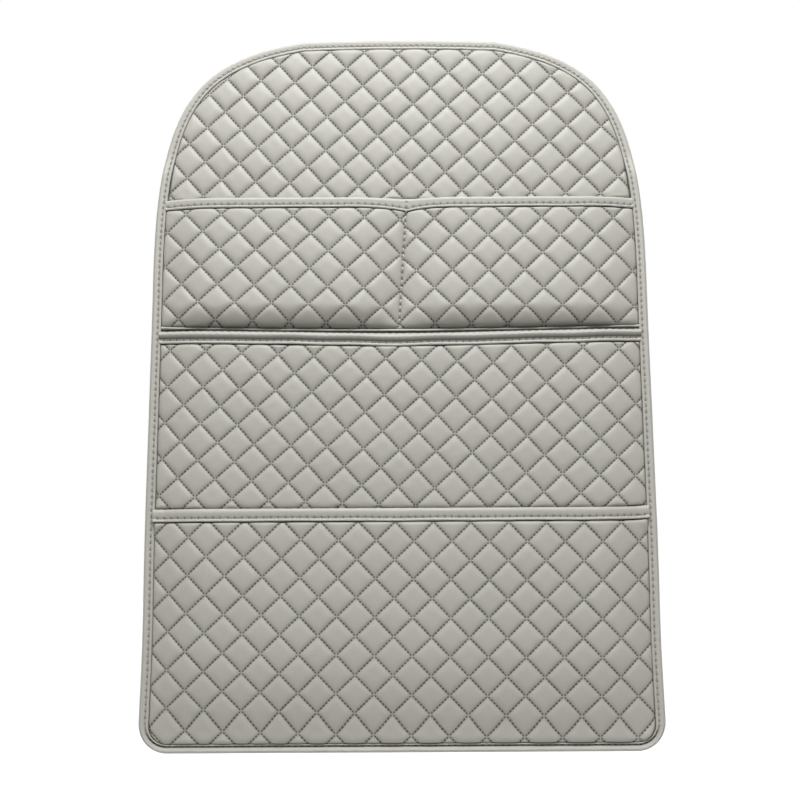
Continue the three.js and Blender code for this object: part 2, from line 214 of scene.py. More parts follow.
UPPER = Pocket(
    name="upper", mouth=154.8, base=273.6, gape=8.0, dip=0.0, rises=(-0.8, 0.0, 18.0),
    base_run=20.0, belly=0.5, least=1.2, hem=0.0, cloths=(UPPER_LEFT_CLOTH, UPPER_RIGHT_CLOTH),
    seed=21, seamed=True, band=9.5, stitch=6.8, bulge=0.35, groove=0.4, turn=(0.2, 1.0),
    shadow=0.0, overhung=0.0, slack=1.0, scallops=0.0)
MIDDLE = Pocket(
    name="middle", mouth=276.5, base=440.0, gape=8.0, dip=2.6, rises=(1.5, 2.2, 30.0),
    base_run=14.0, belly=0.0, least=1.2, hem=0.0, cloths=(MIDDLE_CLOTH, MIDDLE_CLOTH),
    seed=31, seamed=False, band=11.7, stitch=8.8, bulge=2.3, groove=0.5, turn=(0.4, 0.95),
    shadow=0.95, overhung=1.0, slack=2.0, scallops=0.45)
LOWER = Pocket(
    name="lower", mouth=431.7, base=HEIGHT - SIDE_SEAM, gape=11.5, dip=0.0, rises=(0.0, 2.0, 14.0),
    base_run=80.0, belly=0.0, least=4.0, hem=0.9, cloths=(LOWER_CLOTH, LOWER_CLOTH),
    seed=41, seamed=False, band=10.8, stitch=7.8, bulge=0.45, groove=0.6, turn=(0.35, 1.0),
    shadow=0.12, overhung=0.0, slack=1.0, scallops=0.0)
POCKETS = (UPPER, MIDDLE, LOWER)


# Curves and noise

def spots(across, out, drop):
    """World points in metres from across, out and drop in millimetres."""
    return np.stack(np.broadcast_arrays(across, -out, TOP_EDGE - drop), axis=-1) * MM


def ease(value, start, end):
    """Smooth step from 0 at start to 1 at end."""
    t = np.clip((value - start) / (end - start), 0, 1)
    return t * t * (3 - 2 * t)


def rise(distance, run):
    """A quarter sine, from 0 at the seam to 1 at the run."""
    return np.sin(np.pi / 2 * np.clip(distance / run, 0, 1))


def settle(distance, run):
    """0 up to a seam and rising to 1 beyond it, as an exponential with the given run."""
    return 1 - np.exp(-np.clip(distance, 0, None) / run)


def near(distance, width):
    """1 at a seam and 0 away from it, as a bell of the given width."""
    return np.exp(-(distance / width) ** 2)


def ripple(x, y, wavelength, seed, waves=7):
    """Sum of sines with random directions and phases, within about -1 to 1."""
    rng = np.random.default_rng(seed)
    angles, phases = rng.uniform(0, np.pi, waves), rng.uniform(0, 6.28, waves)
    lengths = wavelength * rng.uniform(0.7, 1.4, waves)
    total = 0
    for angle, phase, length in zip(angles, phases, lengths):
        total = total + np.sin(math.tau * (x * np.cos(angle) + y * np.sin(angle)) / length + phase)
    return total / math.sqrt(waves) / 1.6


def cell_random(p, q, seed):
    """A number from 0 to 1 for each quilted cell, from a hash of its whole lattice steps."""
    wave = np.sin(np.floor(p) * 12.9898 + np.floor(q) * 78.233 + seed * 3.7) * 43758.5453
    return wave - np.floor(wave)


def bezier(points, count):
    """Points of a cubic Bezier curve, without its last."""
    t = np.linspace(0, 1, count, endpoint=False)[:, None]
    a, b, c, d = np.array(points)
    return (1 - t) ** 3 * a + 3 * (1 - t) ** 2 * t * b + 3 * (1 - t) * t * t * c + t ** 3 * d


def outline_loop():
    """The outline as (across, drop), clockwise from the top's middle: a crown parabola, a
    Bezier shoulder, a straight side and a round corner, mirrored to the left."""
    shoulder = CROWN_DROP + SHOULDER_FALL
    top_pull = (HALF_WIDTH - CROWN_HALF) * SHOULDER_PULLS[0]
    side_pull = SHOULDER_FALL * SHOULDER_PULLS[1]
    x = np.linspace(0, CROWN_HALF, 40, endpoint=False)
    crown = np.stack([x, CROWN_DROP * (x / CROWN_HALF) ** 2], axis=1)
    curve = bezier([(CROWN_HALF, CROWN_DROP), (CROWN_HALF + top_pull, CROWN_DROP + top_pull * SHOULDER_SLOPE),
                    (HALF_WIDTH, shoulder - side_pull), (HALF_WIDTH, shoulder)], 400)
    straight = np.linspace(shoulder, HEIGHT - CORNER_RADIUS, 300, endpoint=False)
    side = np.stack([np.full(300, HALF_WIDTH), straight], axis=1)
    angle = np.linspace(0, np.pi / 2, 60)
    corner = np.stack([HALF_WIDTH - CORNER_RADIUS + CORNER_RADIUS * np.cos(angle),
                       HEIGHT - CORNER_RADIUS + CORNER_RADIUS * np.sin(angle)], axis=1)
    bottom = np.stack([np.linspace(HALF_WIDTH - CORNER_RADIUS, 0, 150)[1:], np.full(149, HEIGHT)], axis=1)
    right = np.concatenate([crown, curve, side, corner, bottom])
    left = right[1:-1][::-1] * (-1, 1)
    return np.concatenate([right, left])


def even_loop(count):
    """The outline at even steps: points, unit vectors inwards and the arc length of each. The
    sides are drawn in a little, as a bell round a quarter of the way up and a slow slope."""
    loop = outline_loop()
    drawn = 0.8 * ease(loop[:, 1], 150, 280) + 1.2 * near(loop[:, 1] - 545, 62)
    loop[:, 0] *= 1 - drawn / HALF_WIDTH
    closed = np.concatenate([loop, loop[:1]])
    length = np.concatenate([[0], np.cumsum(np.linalg.norm(np.diff(closed, axis=0), axis=1))])
    at = np.linspace(0, length[-1], count, endpoint=False)
    points = np.stack([np.interp(at, length, closed[:, k]) for k in (0, 1)], axis=1)
    along = np.roll(points, -1, axis=0) - np.roll(points, 1, axis=0)
    along /= np.linalg.norm(along, axis=1)[:, None]
    inwards = np.stack([-along[:, 1], along[:, 0]], axis=1)
    smooth = sum(np.roll(inwards, k, axis=0) for k in range(-3, 4))
    return points, smooth / np.linalg.norm(smooth, axis=1)[:, None], at, length[-1]


LOOP_POINTS, LOOP_INWARDS, LOOP_AT, LOOP_LENGTH = even_loop(1100)


def half_width_at(drop, inset):
    """Half the width of the outline, moved inwards by inset, at each drop."""
    right = LOOP_POINTS + LOOP_INWARDS * inset
    right = right[:len(right) // 2]
    return np.interp(drop, right[:, 1], right[:, 0])


def from_edge(across, drop):
    """Distance from the nearest point of the outline, found a few thousand points at a time."""
    points = LOOP_POINTS.astype(np.float32)
    x, z = across.ravel().astype(np.float32), drop.ravel().astype(np.float32)
    result = np.empty(x.size, np.float32)
    for at in range(0, x.size, 4000):
        dx = x[at:at + 4000, None] - points[:, 0]
        dz = z[at:at + 4000, None] - points[:, 1]
        result[at:at + 4000] = np.sqrt((dx * dx + dz * dz).min(axis=1))
    return result.reshape(across.shape)


def bottom_share(drop):
    """0 on the sides, 1 along the bottom edge, where the edge binding is narrower and deeper."""
    return ease(drop, HEIGHT - 26, HEIGHT - 5)


def from_tape(across, drop):
    """Distance from the inner edge of the edge binding."""
    return from_edge(across, drop) - EDGE_WIDTH + BOTTOM_NARROWING * bottom_share(drop)


def from_segment(across, drop, start, end):
    """Distance from the straight line between two points."""
    run = np.subtract(end, start)
    share = ((across - start[0]) * run[0] + (drop - start[1]) * run[1]) / (run @ run)
    share = np.clip(share, 0, 1)
    return np.hypot(across - start[0] - share * run[0], drop - start[1] - share * run[1])


# The shape of the pockets

def seam_at(drop):
    """Where the centre seam of the upper pocket lies: a straight, slightly leaning line."""
    return SEAM_TOP + (SEAM_BOTTOM - SEAM_TOP) * (drop - UPPER.mouth) / (UPPER.base - UPPER.mouth)


def mouth_drop(pocket, across):
    """The mouth's edge, a level line with a bell-shaped dip at its middle and rising ends."""
    left, right, run = pocket.rises
    ends = left * np.exp(-(MOUTH_HALF + across) / run) + right * np.exp((across - MOUTH_HALF) / run)
    return pocket.mouth + pocket.dip * near(across, 110) - ends


def lift(pocket, across, drop):
    """How far a pocket panel stands off: it rises from its sides, its base and its centre seam,
    and a belly makes it stand off more towards its base."""
    side = rise(HALF_WIDTH - SIDE_SEAM - np.abs(across), SIDE_RUN)
    base = rise(pocket.base - drop, pocket.base_run)
    seam = rise(np.abs(across - seam_at(drop)), SIDE_RUN) if pocket.seamed else 1.0
    fall = np.clip((drop - pocket.mouth) / (pocket.base - pocket.mouth), 0, 1)
    return pocket.gape * side * base * seam * (1 + pocket.belly * (fall - 0.4))


def pocket_back(pocket, across, drop):
    """The back of a pocket panel. At its mouth it leaves room for its binding's rear leg."""
    below = drop - mouth_drop(pocket, across)
    least = pocket.least * ease(below, pocket.band + 22, pocket.band)
    return POCKET_BACK + np.maximum(least, lift(pocket, across, drop))


def mouth_back(pocket, across):
    """The back of a pocket panel along the line of its mouth."""
    return pocket_back(pocket, across, mouth_drop(pocket, across))


def base_drop(across):
    """The lower edge of the upper pocket's base tape, which sags as a parabola."""
    return UPPER.base + 0.2 + 3.3 * np.clip(1 - (across / MOUTH_HALF) ** 2, 0, 1)


def lip_sag(pocket, across):
    """How much deeper the mouth binding is where the centre seam draws its lip down."""
    return 2.4 * np.exp(-np.abs(across - SEAM_TOP) / 9) if pocket.seamed else 0.0 * across


def held_back(out, pocket, across, drop):
    """A front kept behind the rear leg of the binding of the pocket that covers it."""
    mouth = mouth_drop(pocket, across)
    rear = mouth_back(pocket, across) - CLEAR - REAR_WALL - 0.2
    return np.minimum(out, rear + 8 * ease(drop, mouth - 0.4, mouth - 3.5))


def seam_holes(across, drop, pitch):
    """1 at each needle hole of the centre seam and 0 a millimetre or so from it."""
    along = (drop - UPPER.mouth - SEAM_START) / pitch
    return near(across - seam_at(drop), 1.0) * near((along - np.round(along)) * pitch, 1.3)


# Quilting

def wobble(across, drop, seed):
    """Slow unevenness of the two families of stitch lines, in steps of the lattice."""
    return [0.008 * ripple(across, drop, 45, seed + k) for k in (0, 1)]


def quilt_relief(cloth, across, drop, sizes, seed):
    """Height of the quilting over its stitch lines. A cell is a dome, the product of two
    rounded profiles between the lines. Along a line the cloth dips under each stitch and
    rises between them, and it puckers up at the crossings."""
    p, q = [line + shift for line, shift in zip(cloth.lattice(across, drop), wobble(across, drop, seed))]
    side_p, side_q = np.abs(2 * (p - np.floor(p)) - 1), np.abs(2 * (q - np.floor(q)) - 1)
    dome = ((1 - side_p ** sizes.roundness) * (1 - side_q ** sizes.roundness)) ** sizes.steepness
    full = 0.88 + 0.24 * cell_random(p, q, seed)
    line_p, line_q = (1 - side_p) / 2 * CELL_SIDE, (1 - side_q) / 2 * CELL_SIDE
    pull = np.exp(-line_p) * np.cos(math.tau * STITCHES_PER_SIDE * q)
    pull = pull + np.exp(-line_q) * np.cos(math.tau * STITCHES_PER_SIDE * p)
    pucker = np.exp(-(line_p ** 2 + line_q ** 2) / 3.0)
    crumple = ripple(across, drop, 9, seed + 2) * dome
    return sizes.puff / MM * dome * full + 0.09 * pull + 0.8 * pucker + 0.06 * crumple, p, q


def top_front(across, drop, sizes):
    """Front of the back panel: quilted down to a little way behind the upper pocket, held down
    by the edge binding and, where it would touch, by the binding of the pocket's mouth."""
    relief, p, q = quilt_relief(TOP_CLOTH, across, drop, sizes, TOP_SEED)
    edge = from_tape(across, drop)
    mouth = mouth_drop(UPPER, across)
    shown = settle(edge, 1.1) * ease(drop, mouth + 14, mouth + 4)
    swell = 0.25 * ripple(across, drop, 90, 5)
    out = PANEL_FRONT - 0.5 + shown * (0.8 + relief + 0.25 + swell)
    # the last value is painted shade in the crease along the edge binding
    return held_back(out, UPPER, across, drop), p, q, 0.4 * near(edge, 0.7)


def pocket_front(pocket, across, drop, sizes):
    """Front of a pocket panel: its back, its thickness and the quilting, which is held down
    under the mouth binding, at the edge binding, at its base and along the centre seam. Its
    crease value is painted shade along those seams, along the dart and in the needle holes."""
    left, right = pocket.cloths
    relief, p, q = quilt_relief(left, across, drop, sizes, pocket.seed)
    edge = from_tape(across, drop)
    lip = drop - mouth_drop(pocket, across) - pocket.band - lip_sag(pocket, across)
    shown = settle(edge, 1.1) * settle(lip - 0.4, 0.9)
    # painted shade along the edge binding and under the mouth binding's lip, wider where the quilting is low
    low = np.exp(-np.clip(relief, 0, None) / 0.7)
    crease = 0.4 * near(edge, 0.7) + near(np.maximum(lip - 0.4, 0), 0.75 + low)
    if pocket is MIDDLE:
        # painted shade along the dart
        crease = crease + 1.3 * near(from_segment(across, drop, *DART), 0.95)
    if pocket.seamed:
        beyond = across > seam_at(drop)
        pairs = zip((relief, p, q), quilt_relief(right, across, drop, sizes, pocket.seed + RIGHT_SEED))
        relief, p, q = [np.where(beyond, b, a) for a, b in pairs]
        seam = np.abs(across - seam_at(drop))
        over_base = base_drop(across) - BASE_BAND + 0.1 - drop
        shown = shown * (1 - 0.8 * np.exp(-seam / 2.4)) * settle(over_base, 1.3)
        # painted shade above the base tape and in the centre seam's needle holes
        crease = crease + 0.6 * near(np.maximum(over_base, 0), 1.0)
        crease = crease + 0.95 * seam_holes(across, drop, sizes.seam_stitch / MM)
    hem = pocket_back(pocket, across, drop) + 1.0 + pocket.hem * ease(drop, pocket.base - 12, pocket.base - 2)
    hem = np.where(edge < 0.2, np.minimum(hem, SEAM_FRONT), hem)
    swell = 0.25 * ripple(across, drop, 90, pocket.seed + 9)
    out = hem + shown * (POCKET_THICK - 1.0 + relief + 0.25 + swell)
    if pocket is MIDDLE:
        mouth = mouth_drop(LOWER, across)
        out = held_back(out - shown * relief * ease(drop, mouth + 2, mouth + 6), LOWER, across, drop)
    return out, p, q, crease


# Meshes

def make_object(name, vertices, faces, material, uv=None, crease=None, smooth=True):
    """A mesh object from arrays. uv holds one pair for each vertex or each corner of a face,
    and crease one number for each vertex: the painted shade that the materials put there."""
    mesh = bpy.data.meshes.new(name)
    mesh.from_pydata(vertices.reshape(-1, 3), [], faces)
    if uv is not None:
        layer = mesh.uv_layers.new(name="UVMap")
        pairs = uv.reshape(-1, 2)
        if len(pairs) != len(mesh.loops):
            index = np.empty(len(mesh.loops), np.int32)
            mesh.loops.foreach_get("vertex_index", index)
            pairs = pairs[index]
        layer.data.foreach_set("uv", pairs.ravel().astype(np.float32))
    if crease is not None:
        # the crease attribute holds painted shade, which the materials darken by
        layer = mesh.attributes.new("crease", "FLOAT", "POINT")
        layer.data.foreach_set("value", np.clip(crease, 0, 1).ravel().astype(np.float32))
    mesh.polygons.foreach_set("use_smooth", np.full(len(mesh.polygons), smooth))
    mesh.materials.append(material)
    mesh.validate()
    mesh.update()
    piece = bpy.data.objects.new(name, mesh)
    bpy.context.scene.collection.objects.link(piece)
    return piece


def grid_faces(rows, columns, start=0, wrap=False):
    """Quads of a grid of vertices stored row by row; wrap joins the last row to the first."""
    r, c = np.meshgrid(np.arange(rows if wrap else rows - 1), np.arange(columns - 1), indexing="ij")
    below = (r + 1) % rows
    first, second = r * columns + c, below * columns + c
    return np.stack([first, second, second + 1, first + 1], axis=-1).reshape(-1, 4) + start


def padded_shell(name, material, across, drop, front, back, uv, crease=None, step=8):
    """A closed pad: a fine front grid, a coarse back grid of every step-th row and column, and
    a rim of polygons that joins each coarse edge to the fine points along it."""
    rows, columns = across.shape
    front_points = spots(across, front, drop).reshape(-1, 3)
    coarse_rows, coarse_columns = np.arange(0, rows, step), np.arange(0, columns, step)
    pick = np.ix_(coarse_rows, coarse_columns)
    back_points = spots(across[pick], back[pick], drop[pick]).reshape(-1, 3)
    count = rows * columns
    faces = grid_faces(rows, columns).tolist()
    faces += grid_faces(len(coarse_rows), len(coarse_columns), count)[:, ::-1].tolist()
    index = np.arange(count).reshape(rows, columns)
    coarse = count + np.arange(len(back_points)).reshape(len(coarse_rows), len(coarse_columns))
    rims = [(index[0], coarse[0], False), (index[-1], coarse[-1], True),
            (index[:, 0], coarse[:, 0], True), (index[:, -1], coarse[:, -1], False)]
    for fine, rough, flip in rims:
        for k in range(len(rough) - 1):
            ring = fine[k * step:(k + 1) * step + 1].tolist() + [int(rough[k + 1]), int(rough[k])]
            faces.append(ring[::-1] if flip else ring)
    points = np.concatenate([front_points, back_points])
    pairs = np.concatenate([uv.reshape(-1, 2), uv[pick].reshape(-1, 2)])
    if crease is not None:
        crease = np.concatenate([crease.ravel(), crease[pick].ravel()])
    return make_object(name, points, faces, material, pairs, crease)


def graded(low, high, spacing, places=(), step=8):
    """Positions from low to high, one more than a multiple of step, at even spacing but three
    times as close within 2.5 mm of each place."""
    fine = np.linspace(low, high, 4000)
    density = np.full(4000, 1.0 / spacing)
    for place in places:
        density *= 1 + 2 * np.exp(-((fine - place) / 2.5) ** 4)
    total = np.concatenate([[0], np.cumsum((density[1:] + density[:-1]) / 2 * np.diff(fine))])
    count = int(math.ceil(total[-1] / step)) * step
    return np.interp(np.linspace(0, total[-1], count + 1), total, fine)


def swept_tape(name, material, rings, closed, uv, crease):
    """A tube from rings of section points, given as (stations, points, 3). An open tube has
    capped ends. On a closed one the map runs on past its last ring by one more step."""
    stations, count = rings.shape[:2]
    index = np.arange(stations * count).reshape(stations, count)
    index = np.concatenate([index, index[:, :1]], axis=1)
    quads = index.ravel()[grid_faces(stations, count + 1, wrap=closed)]
    faces = quads.tolist()
    if closed:
        lap = uv[-1, 0, 0] + uv[1, 0, 0] - 2 * uv[0, 0, 0]
        last = (quads < count) & (quads.max(axis=1) >= (stations - 1) * count)[:, None]
        uv = uv.reshape(-1, 2)[quads] + np.stack([last * lap, 0 * last], axis=-1)
    else:
        faces.append(index[0, :-1].tolist())
        faces.append(index[-1, :-1][::-1].tolist())
    return make_object(name, rings, faces, material, uv, crease)


def tape_section(band, stitch, fold, inner, rear, bulge, groove, turn=(0.42, 1.0), lip=0.6, shadow=0.0,
                 shade_flap=(0.9, 1.0), overhung=0.0, fold_steps=9, face_steps=26):
    """A folded tape in section: distance from the fold, out, and painted shade for each point. The
    face swells from the fold, turns back to the stitches between two shares of the way, with a
    painted shadow there and a little painted shade in the stitches' groove, and ends in a lip that
    faces up. Beyond it a dark flap, so deep and so dark, lies in the seam as its painted shadow.
    Where it is overhung, the rear of the fold is painted dark as shade."""
    face = inner + TAPE_WALL
    middle, half = (face - rear) / 2, (face + rear) / 2
    angle = np.linspace(-np.pi / 2, np.pi / 2, fold_steps)
    # where the fold is overhung, its rear takes painted shade
    arc = np.stack([fold * (1 - np.cos(angle)), middle + half * np.sin(angle),
                    overhung * ease(angle, 1.3, 0.9)], axis=1)
    n = np.linspace(fold, band, face_steps + 1)[1:]
    share = np.clip((n - fold * 0.3) / (stitch - fold * 0.3), 0, 1)
    roll = ease(share, 0, 0.38) * (1 - ease(share, *turn))
    dip = near(n - stitch, 0.6)
    rising = lip * ease(n, stitch, band - 0.5) - (lip + 0.4) * ease(n, band - 0.55, band)
    out = face + bulge * roll + rising - groove * dip
    # painted shadow on the face above the stitches; the third column also adds a little painted shade in the
    # stitches' groove
    dark = shadow * ease(n, stitch - 5.2, stitch - 1.0) * ease(n, stitch - 0.3, stitch - 1.2)
    front = np.stack([n, out, 0.1 * dip + dark], axis=1)
    # a dark flap put in the seam beyond the lip, painted as the seam's shadow
    depth, black = shade_flap
    inside = [[band + 0.05, inner + 0.3, black], [band + depth, inner - 0.5, black],
              [band, inner - 0.8, black], [fold, inner - 0.8, 0], [fold * 0.5, inner / 2, 0],
              [fold, 0, 0], [band, 0, 0], [band, -rear, 0]]
    return np.concatenate([arc, front, np.array(inside)])


def threads(name, material, starts, ends, lifts, thickness):
    """Short threads between pairs of points: each is a five-sided rod of four rings whose
    middle stands proud and whose ends dive into the cloth. starts, ends: (n, 3) in metres."""
    count = len(starts)
    share = np.array([0.0, 0.22, 0.78, 1.0])
    height = np.array([-0.35, 1.0, 1.0, -0.35]) * thickness * 0.55
    size = np.array([0.75, 1.0, 1.0, 0.75]) * thickness / 2
    along = ends - starts
    along /= np.linalg.norm(along, axis=1)[:, None]
    outwards = lifts - (lifts * along).sum(axis=1)[:, None] * along
    outwards /= np.linalg.norm(outwards, axis=1)[:, None]
    across = np.cross(along, outwards)
    centre = starts[:, None] + (ends - starts)[:, None] * share[:, None] + outwards[:, None] * height[:, None]
    angle = np.arange(5) * 2 * np.pi / 5
    around = across[:, None] * np.cos(angle)[:, None] + outwards[:, None] * np.sin(angle)[:, None]
    rings = centre[:, :, None] + around[:, None] * size[:, None, None]
    ring, turn = np.meshgrid(np.arange(3), np.arange(5), indexing="ij")
    after = (turn + 1) % 5
    quads = np.stack([ring * 5 + turn, ring * 5 + after, ring * 5 + 5 + after, ring * 5 + 5 + turn], axis=-1)
    quads = quads.reshape(-1, 4)
    offsets = (np.arange(count) * 20)[:, None, None]
    faces = (quads[None] + offsets).reshape(-1, 4).tolist()
    faces += (np.arange(5)[::-1][None] + offsets[:, 0]).tolist()
    faces += (np.arange(15, 20)[None] + offsets[:, 0]).tolist()
    uv = np.stack(np.broadcast_arrays(share[None, :, None], (angle / math.tau)[None, None]), axis=-1)
    uv = np.broadcast_to(uv, (count, 4, 5, 2))
    return make_object(name, rings, faces, material, uv)


# Materials

class Wire:
    """A shader socket with Python arithmetic: each operator adds one Math node."""

    def __init__(self, shader, socket):
        self.shader = shader
        self.socket = socket

    def maths(self, operation, *others):
        """One Math node on this socket and others."""
        return self.shader.node("Math", {"operation": operation}, *((self,) + others))

    def __add__(self, other):
        return self.maths("ADD", other)

    def __sub__(self, other):
        return self.maths("SUBTRACT", other)

    def __rsub__(self, other):
        return self.shader.node("Math", {"operation": "SUBTRACT"}, other, self)

    def __mul__(self, other):
        return self.maths("MULTIPLY", other)

    __radd__ = __add__
    __rmul__ = __mul__

    def fade(self, start, end):
        """1 at or below start, 0 at or above end, smooth between."""
        return self.shader.node("MapRange", {"interpolation_type": "SMOOTHSTEP"}, self, start, end, 1.0, 0.0)


class Shader:
    """A material's node tree; node() adds one node and gives its first output."""

    def __init__(self, name, owners=None):
        self.material = (bpy.data.materials if owners is None else owners).new(name)
        self.material.use_nodes = True
        self.tree = self.material.node_tree
        self.tree.nodes.clear()

    def node(self, kind, settings, *inputs, **named):
        """One node, its settings first, then its sockets by place or by name."""
        made = self.tree.nodes.new("ShaderNode" + kind)
        for key, value in settings.items():
            setattr(made, key, value)
        for key, value in list(enumerate(inputs)) + [(k.replace("_", " "), v) for k, v in named.items()]:
            if isinstance(value, Wire):
                self.tree.links.new(value.socket, made.inputs[key])
            elif value is not None:
                made.inputs[key].default_value = value
        return Wire(self, made.outputs[0]) if made.outputs else None

    def split(self, wire):
        """The three components of a vector."""
        self.node("SeparateXYZ", {}, wire)
        return [Wire(self, output) for output in self.tree.nodes[-1].outputs]

    def place(self):
        """Object coordinates in metres."""
        made = self.tree.nodes.new("ShaderNodeTexCoord")
        return Wire(self, made.outputs["Object"])

    def crease(self):
        """The mesh's own amount of painted shade, most in seams, needle holes and under laps."""
        made = self.tree.nodes.new("ShaderNodeAttribute")
        made.attribute_name = "crease"
        return Wire(self, made.outputs["Fac"])

    def watched(self):
        """1 where the camera looks, straight or by way of a mirror or glass."""
        made = self.tree.nodes.new("ShaderNodeLightPath")
        names = ("Is Camera Ray", "Is Glossy Ray", "Is Transmission Ray")
        camera, glossy, clear = [Wire(self, made.outputs[name]) for name in names]
        return (camera + glossy + clear).maths("MINIMUM", 1.0)

    def noise(self, scale, detail=2.0):
        """Noise from 0 to 1 on the object's coordinates."""
        return self.node("TexNoise", {}, Vector=self.place(), Scale=scale, Detail=detail, Roughness=0.5)

    def bump(self, height, strength):
        """A normal bent by a height in metres."""
        return self.node("Bump", {}, Strength=strength, Distance=1.0, Height=height)

    def clouds(self, colour, scale):
        """A colour with broad, faint clouds in it."""
        return self.tint(shade(colour, 0.96), shade(colour, 1.04), self.noise(scale, 3.0))

    def tint(self, low, high, factor):
        """A colour between two colours."""
        self.node("Mix", {"data_type": "RGBA"}, factor)
        made = self.tree.nodes[-1]
        for slot, colour in ((6, low), (7, high)):
            if isinstance(colour, Wire):
                self.tree.links.new(colour.socket, made.inputs[slot])
            else:
                made.inputs[slot].default_value = colour
        return Wire(self, made.outputs[2])

    def finish(self, colour, roughness, normal=None):
        """The surface: a principled shader with a colour, a roughness and an optional normal."""
        made = self.tree.nodes.new("ShaderNodeBsdfPrincipled")
        for key, value in (("Base Color", colour), ("Roughness", roughness), ("Normal", normal)):
            if isinstance(value, Wire):
                self.tree.links.new(value.socket, made.inputs[key])
            elif value is not None:
                made.inputs[key].default_value = value
        output = self.tree.nodes.new("ShaderNodeOutputMaterial")
        self.tree.links.new(made.outputs[0], output.inputs[0])
        return self.material


def shade(colour, factor):
    """A colour made lighter or darker, opaque."""
    return [channel * factor for channel in colour[:3]] + [1.0]


def leather_grain(shader):
    """Height of a fine pebbled grain: small cells with soft creases, and a finer noise."""
    pebble = shader.node("TexVoronoi", {"feature": "SMOOTH_F1"}, Vector=shader.place(), Scale=1000.0)
    return pebble * 0.7 + shader.noise(2200.0) * 0.5


def quilted_leather(colours):
    """Faux leather with its stitch lines: UV holds lattice steps, so a line lies at each whole
    number and each side of a cell holds seven stitches. Painted shade darkens a hollow along each
    line and a dash under each stitch, with less of it at the crossings, and the crease attribute
    adds painted shade in the seams."""
    shader = Shader("quilted leather")
    p, q, _ = shader.split(shader.node("UVMap", {"uv_map": "UVMap"}))
    lines = [axis.maths("PINGPONG", 0.5) * CELL_SIDE for axis in (p, q)]
    between = [(axis * STITCHES_PER_SIDE + 0.5).maths("PINGPONG", 0.5) * (CELL_SIDE / STITCHES_PER_SIDE)
               for axis in (q, p)]
    nearest = lines[0].maths("MINIMUM", lines[1])
    # painted shade: a dark hollow along each stitch line and a dark dash under each stitch, less of it at the
    # crossings
    crossing = lines[0].fade(0.7, 2.2) * lines[1].fade(0.7, 2.2)
    hollow = nearest.fade(0.3, 2.8) * 0.17 + nearest.fade(0.1, 1.1) * 0.22
    dashes = [line.fade(0.4, 1.15) * gap.fade(0.6, 1.35) for line, gap in zip(lines, between)]
    dash = dashes[0].maths("MAXIMUM", dashes[1])
    painted_shade = hollow.maths("MAXIMUM", dash * 0.9) * (1.0 - crossing * 0.9)
    painted_shade = painted_shade.maths("MAXIMUM", shader.crease() * 0.95)
    # the quilt's colour is darkened towards a tenth of itself where the painted shade lies
    colour = shader.tint(shader.clouds(colours.quilt, 28.0), shade(colours.quilt, 0.1), painted_shade)
    normal = shader.bump(leather_grain(shader) * 0.00017 - dash * 0.0003, 0.8)
    return shader.finish(colour, shader.noise(60.0) * 0.12 + 0.45, normal)


def binding_leather(colours):
    """The same leather cut as tape. UV holds stitches along it and millimetres from the stitch
    line, so a needle hole of painted shade lies at each whole stitch, with faint painted shade in
    the dent round it, and the crease attribute adds painted shade in the seams. A coarser noise
    wrinkles it faintly."""
    shader = Shader("binding leather")
    along, across, _ = shader.split(shader.node("UVMap", {"uv_map": "UVMap"}))
    hole_along = along.maths("PINGPONG", 0.5) * 6.0
    hole = (hole_along * hole_along * 0.6 + across * across).fade(0.08, 0.66)
    dent = (hole_along * hole_along * 0.5 + across * across).fade(0.3, 2.6)
    # painted shade: dark needle holes, a faint ring of it in each dent, and the seams' crease attribute
    painted_shade = (hole * 0.78).maths("MAXIMUM", dent * 0.14).maths("MAXIMUM", shader.crease() * 0.97)
    colour = shader.tint(shader.clouds(colours.binding, 35.0), shade(colours.binding, 0.08), painted_shade)
    height = leather_grain(shader) * 0.00013 + shader.noise(220.0, 2.0) * 0.00025 - dent * 0.0004
    return shader.finish(colour, shader.noise(60.0) * 0.12 + 0.43, shader.bump(height, 0.8))


def sewing_thread(name, colour):
    """Twisted thread: slanted plies across its length, with painted shade between them."""
    shader = Shader(name)
    along, around, _ = shader.split(shader.node("UVMap", {"uv_map": "UVMap"}))
    ply = (along * 5.0 + around * 2.0).maths("PINGPONG", 0.5) * 2.0
    plies = shader.tint(shade(colour, 0.75), shade(colour, 1.0), ply)
    return shader.finish(plies, 0.7, shader.bump(ply * 0.0001, 0.5))


def quilting_thread(colours):
    """The thread of the quilting, which lies deep between the cells; its colour is darkened below the
    thread's own as painted shade of the crease it lies in.
    """
    return sewing_thread("quilting thread", colours.quilting)


def binding_thread(colours):
    """The thread of the bindings' topstitches."""
    return sewing_thread("binding thread", colours.topstitch)


def seam_thread(colours):
    """The pale thread of the centre seam."""
    return sewing_thread("seam thread", colours.seam)


def strip_thread(colours):
    """The thread that sews the hook strips to the lining."""
    return sewing_thread("strip thread", colours.lining)


def lining_cloth(colours):
    """Plain weave: the product of two zigzags, one each way, about a millimetre apart, with painted shade in
    the gaps between its threads and painted light on their tops.
    """
    shader = Shader("lining cloth")
    x, _, z = shader.split(shader.place())
    weave = (x * 1100.0).maths("PINGPONG", 0.5) * (z * 1100.0).maths("PINGPONG", 0.5) * 4.0
    colour = shader.tint(shade(colours.lining, 0.72), shade(colours.lining, 1.1), weave)
    return shader.finish(colour, 0.9, shader.bump(weave * 0.0002, 0.6))


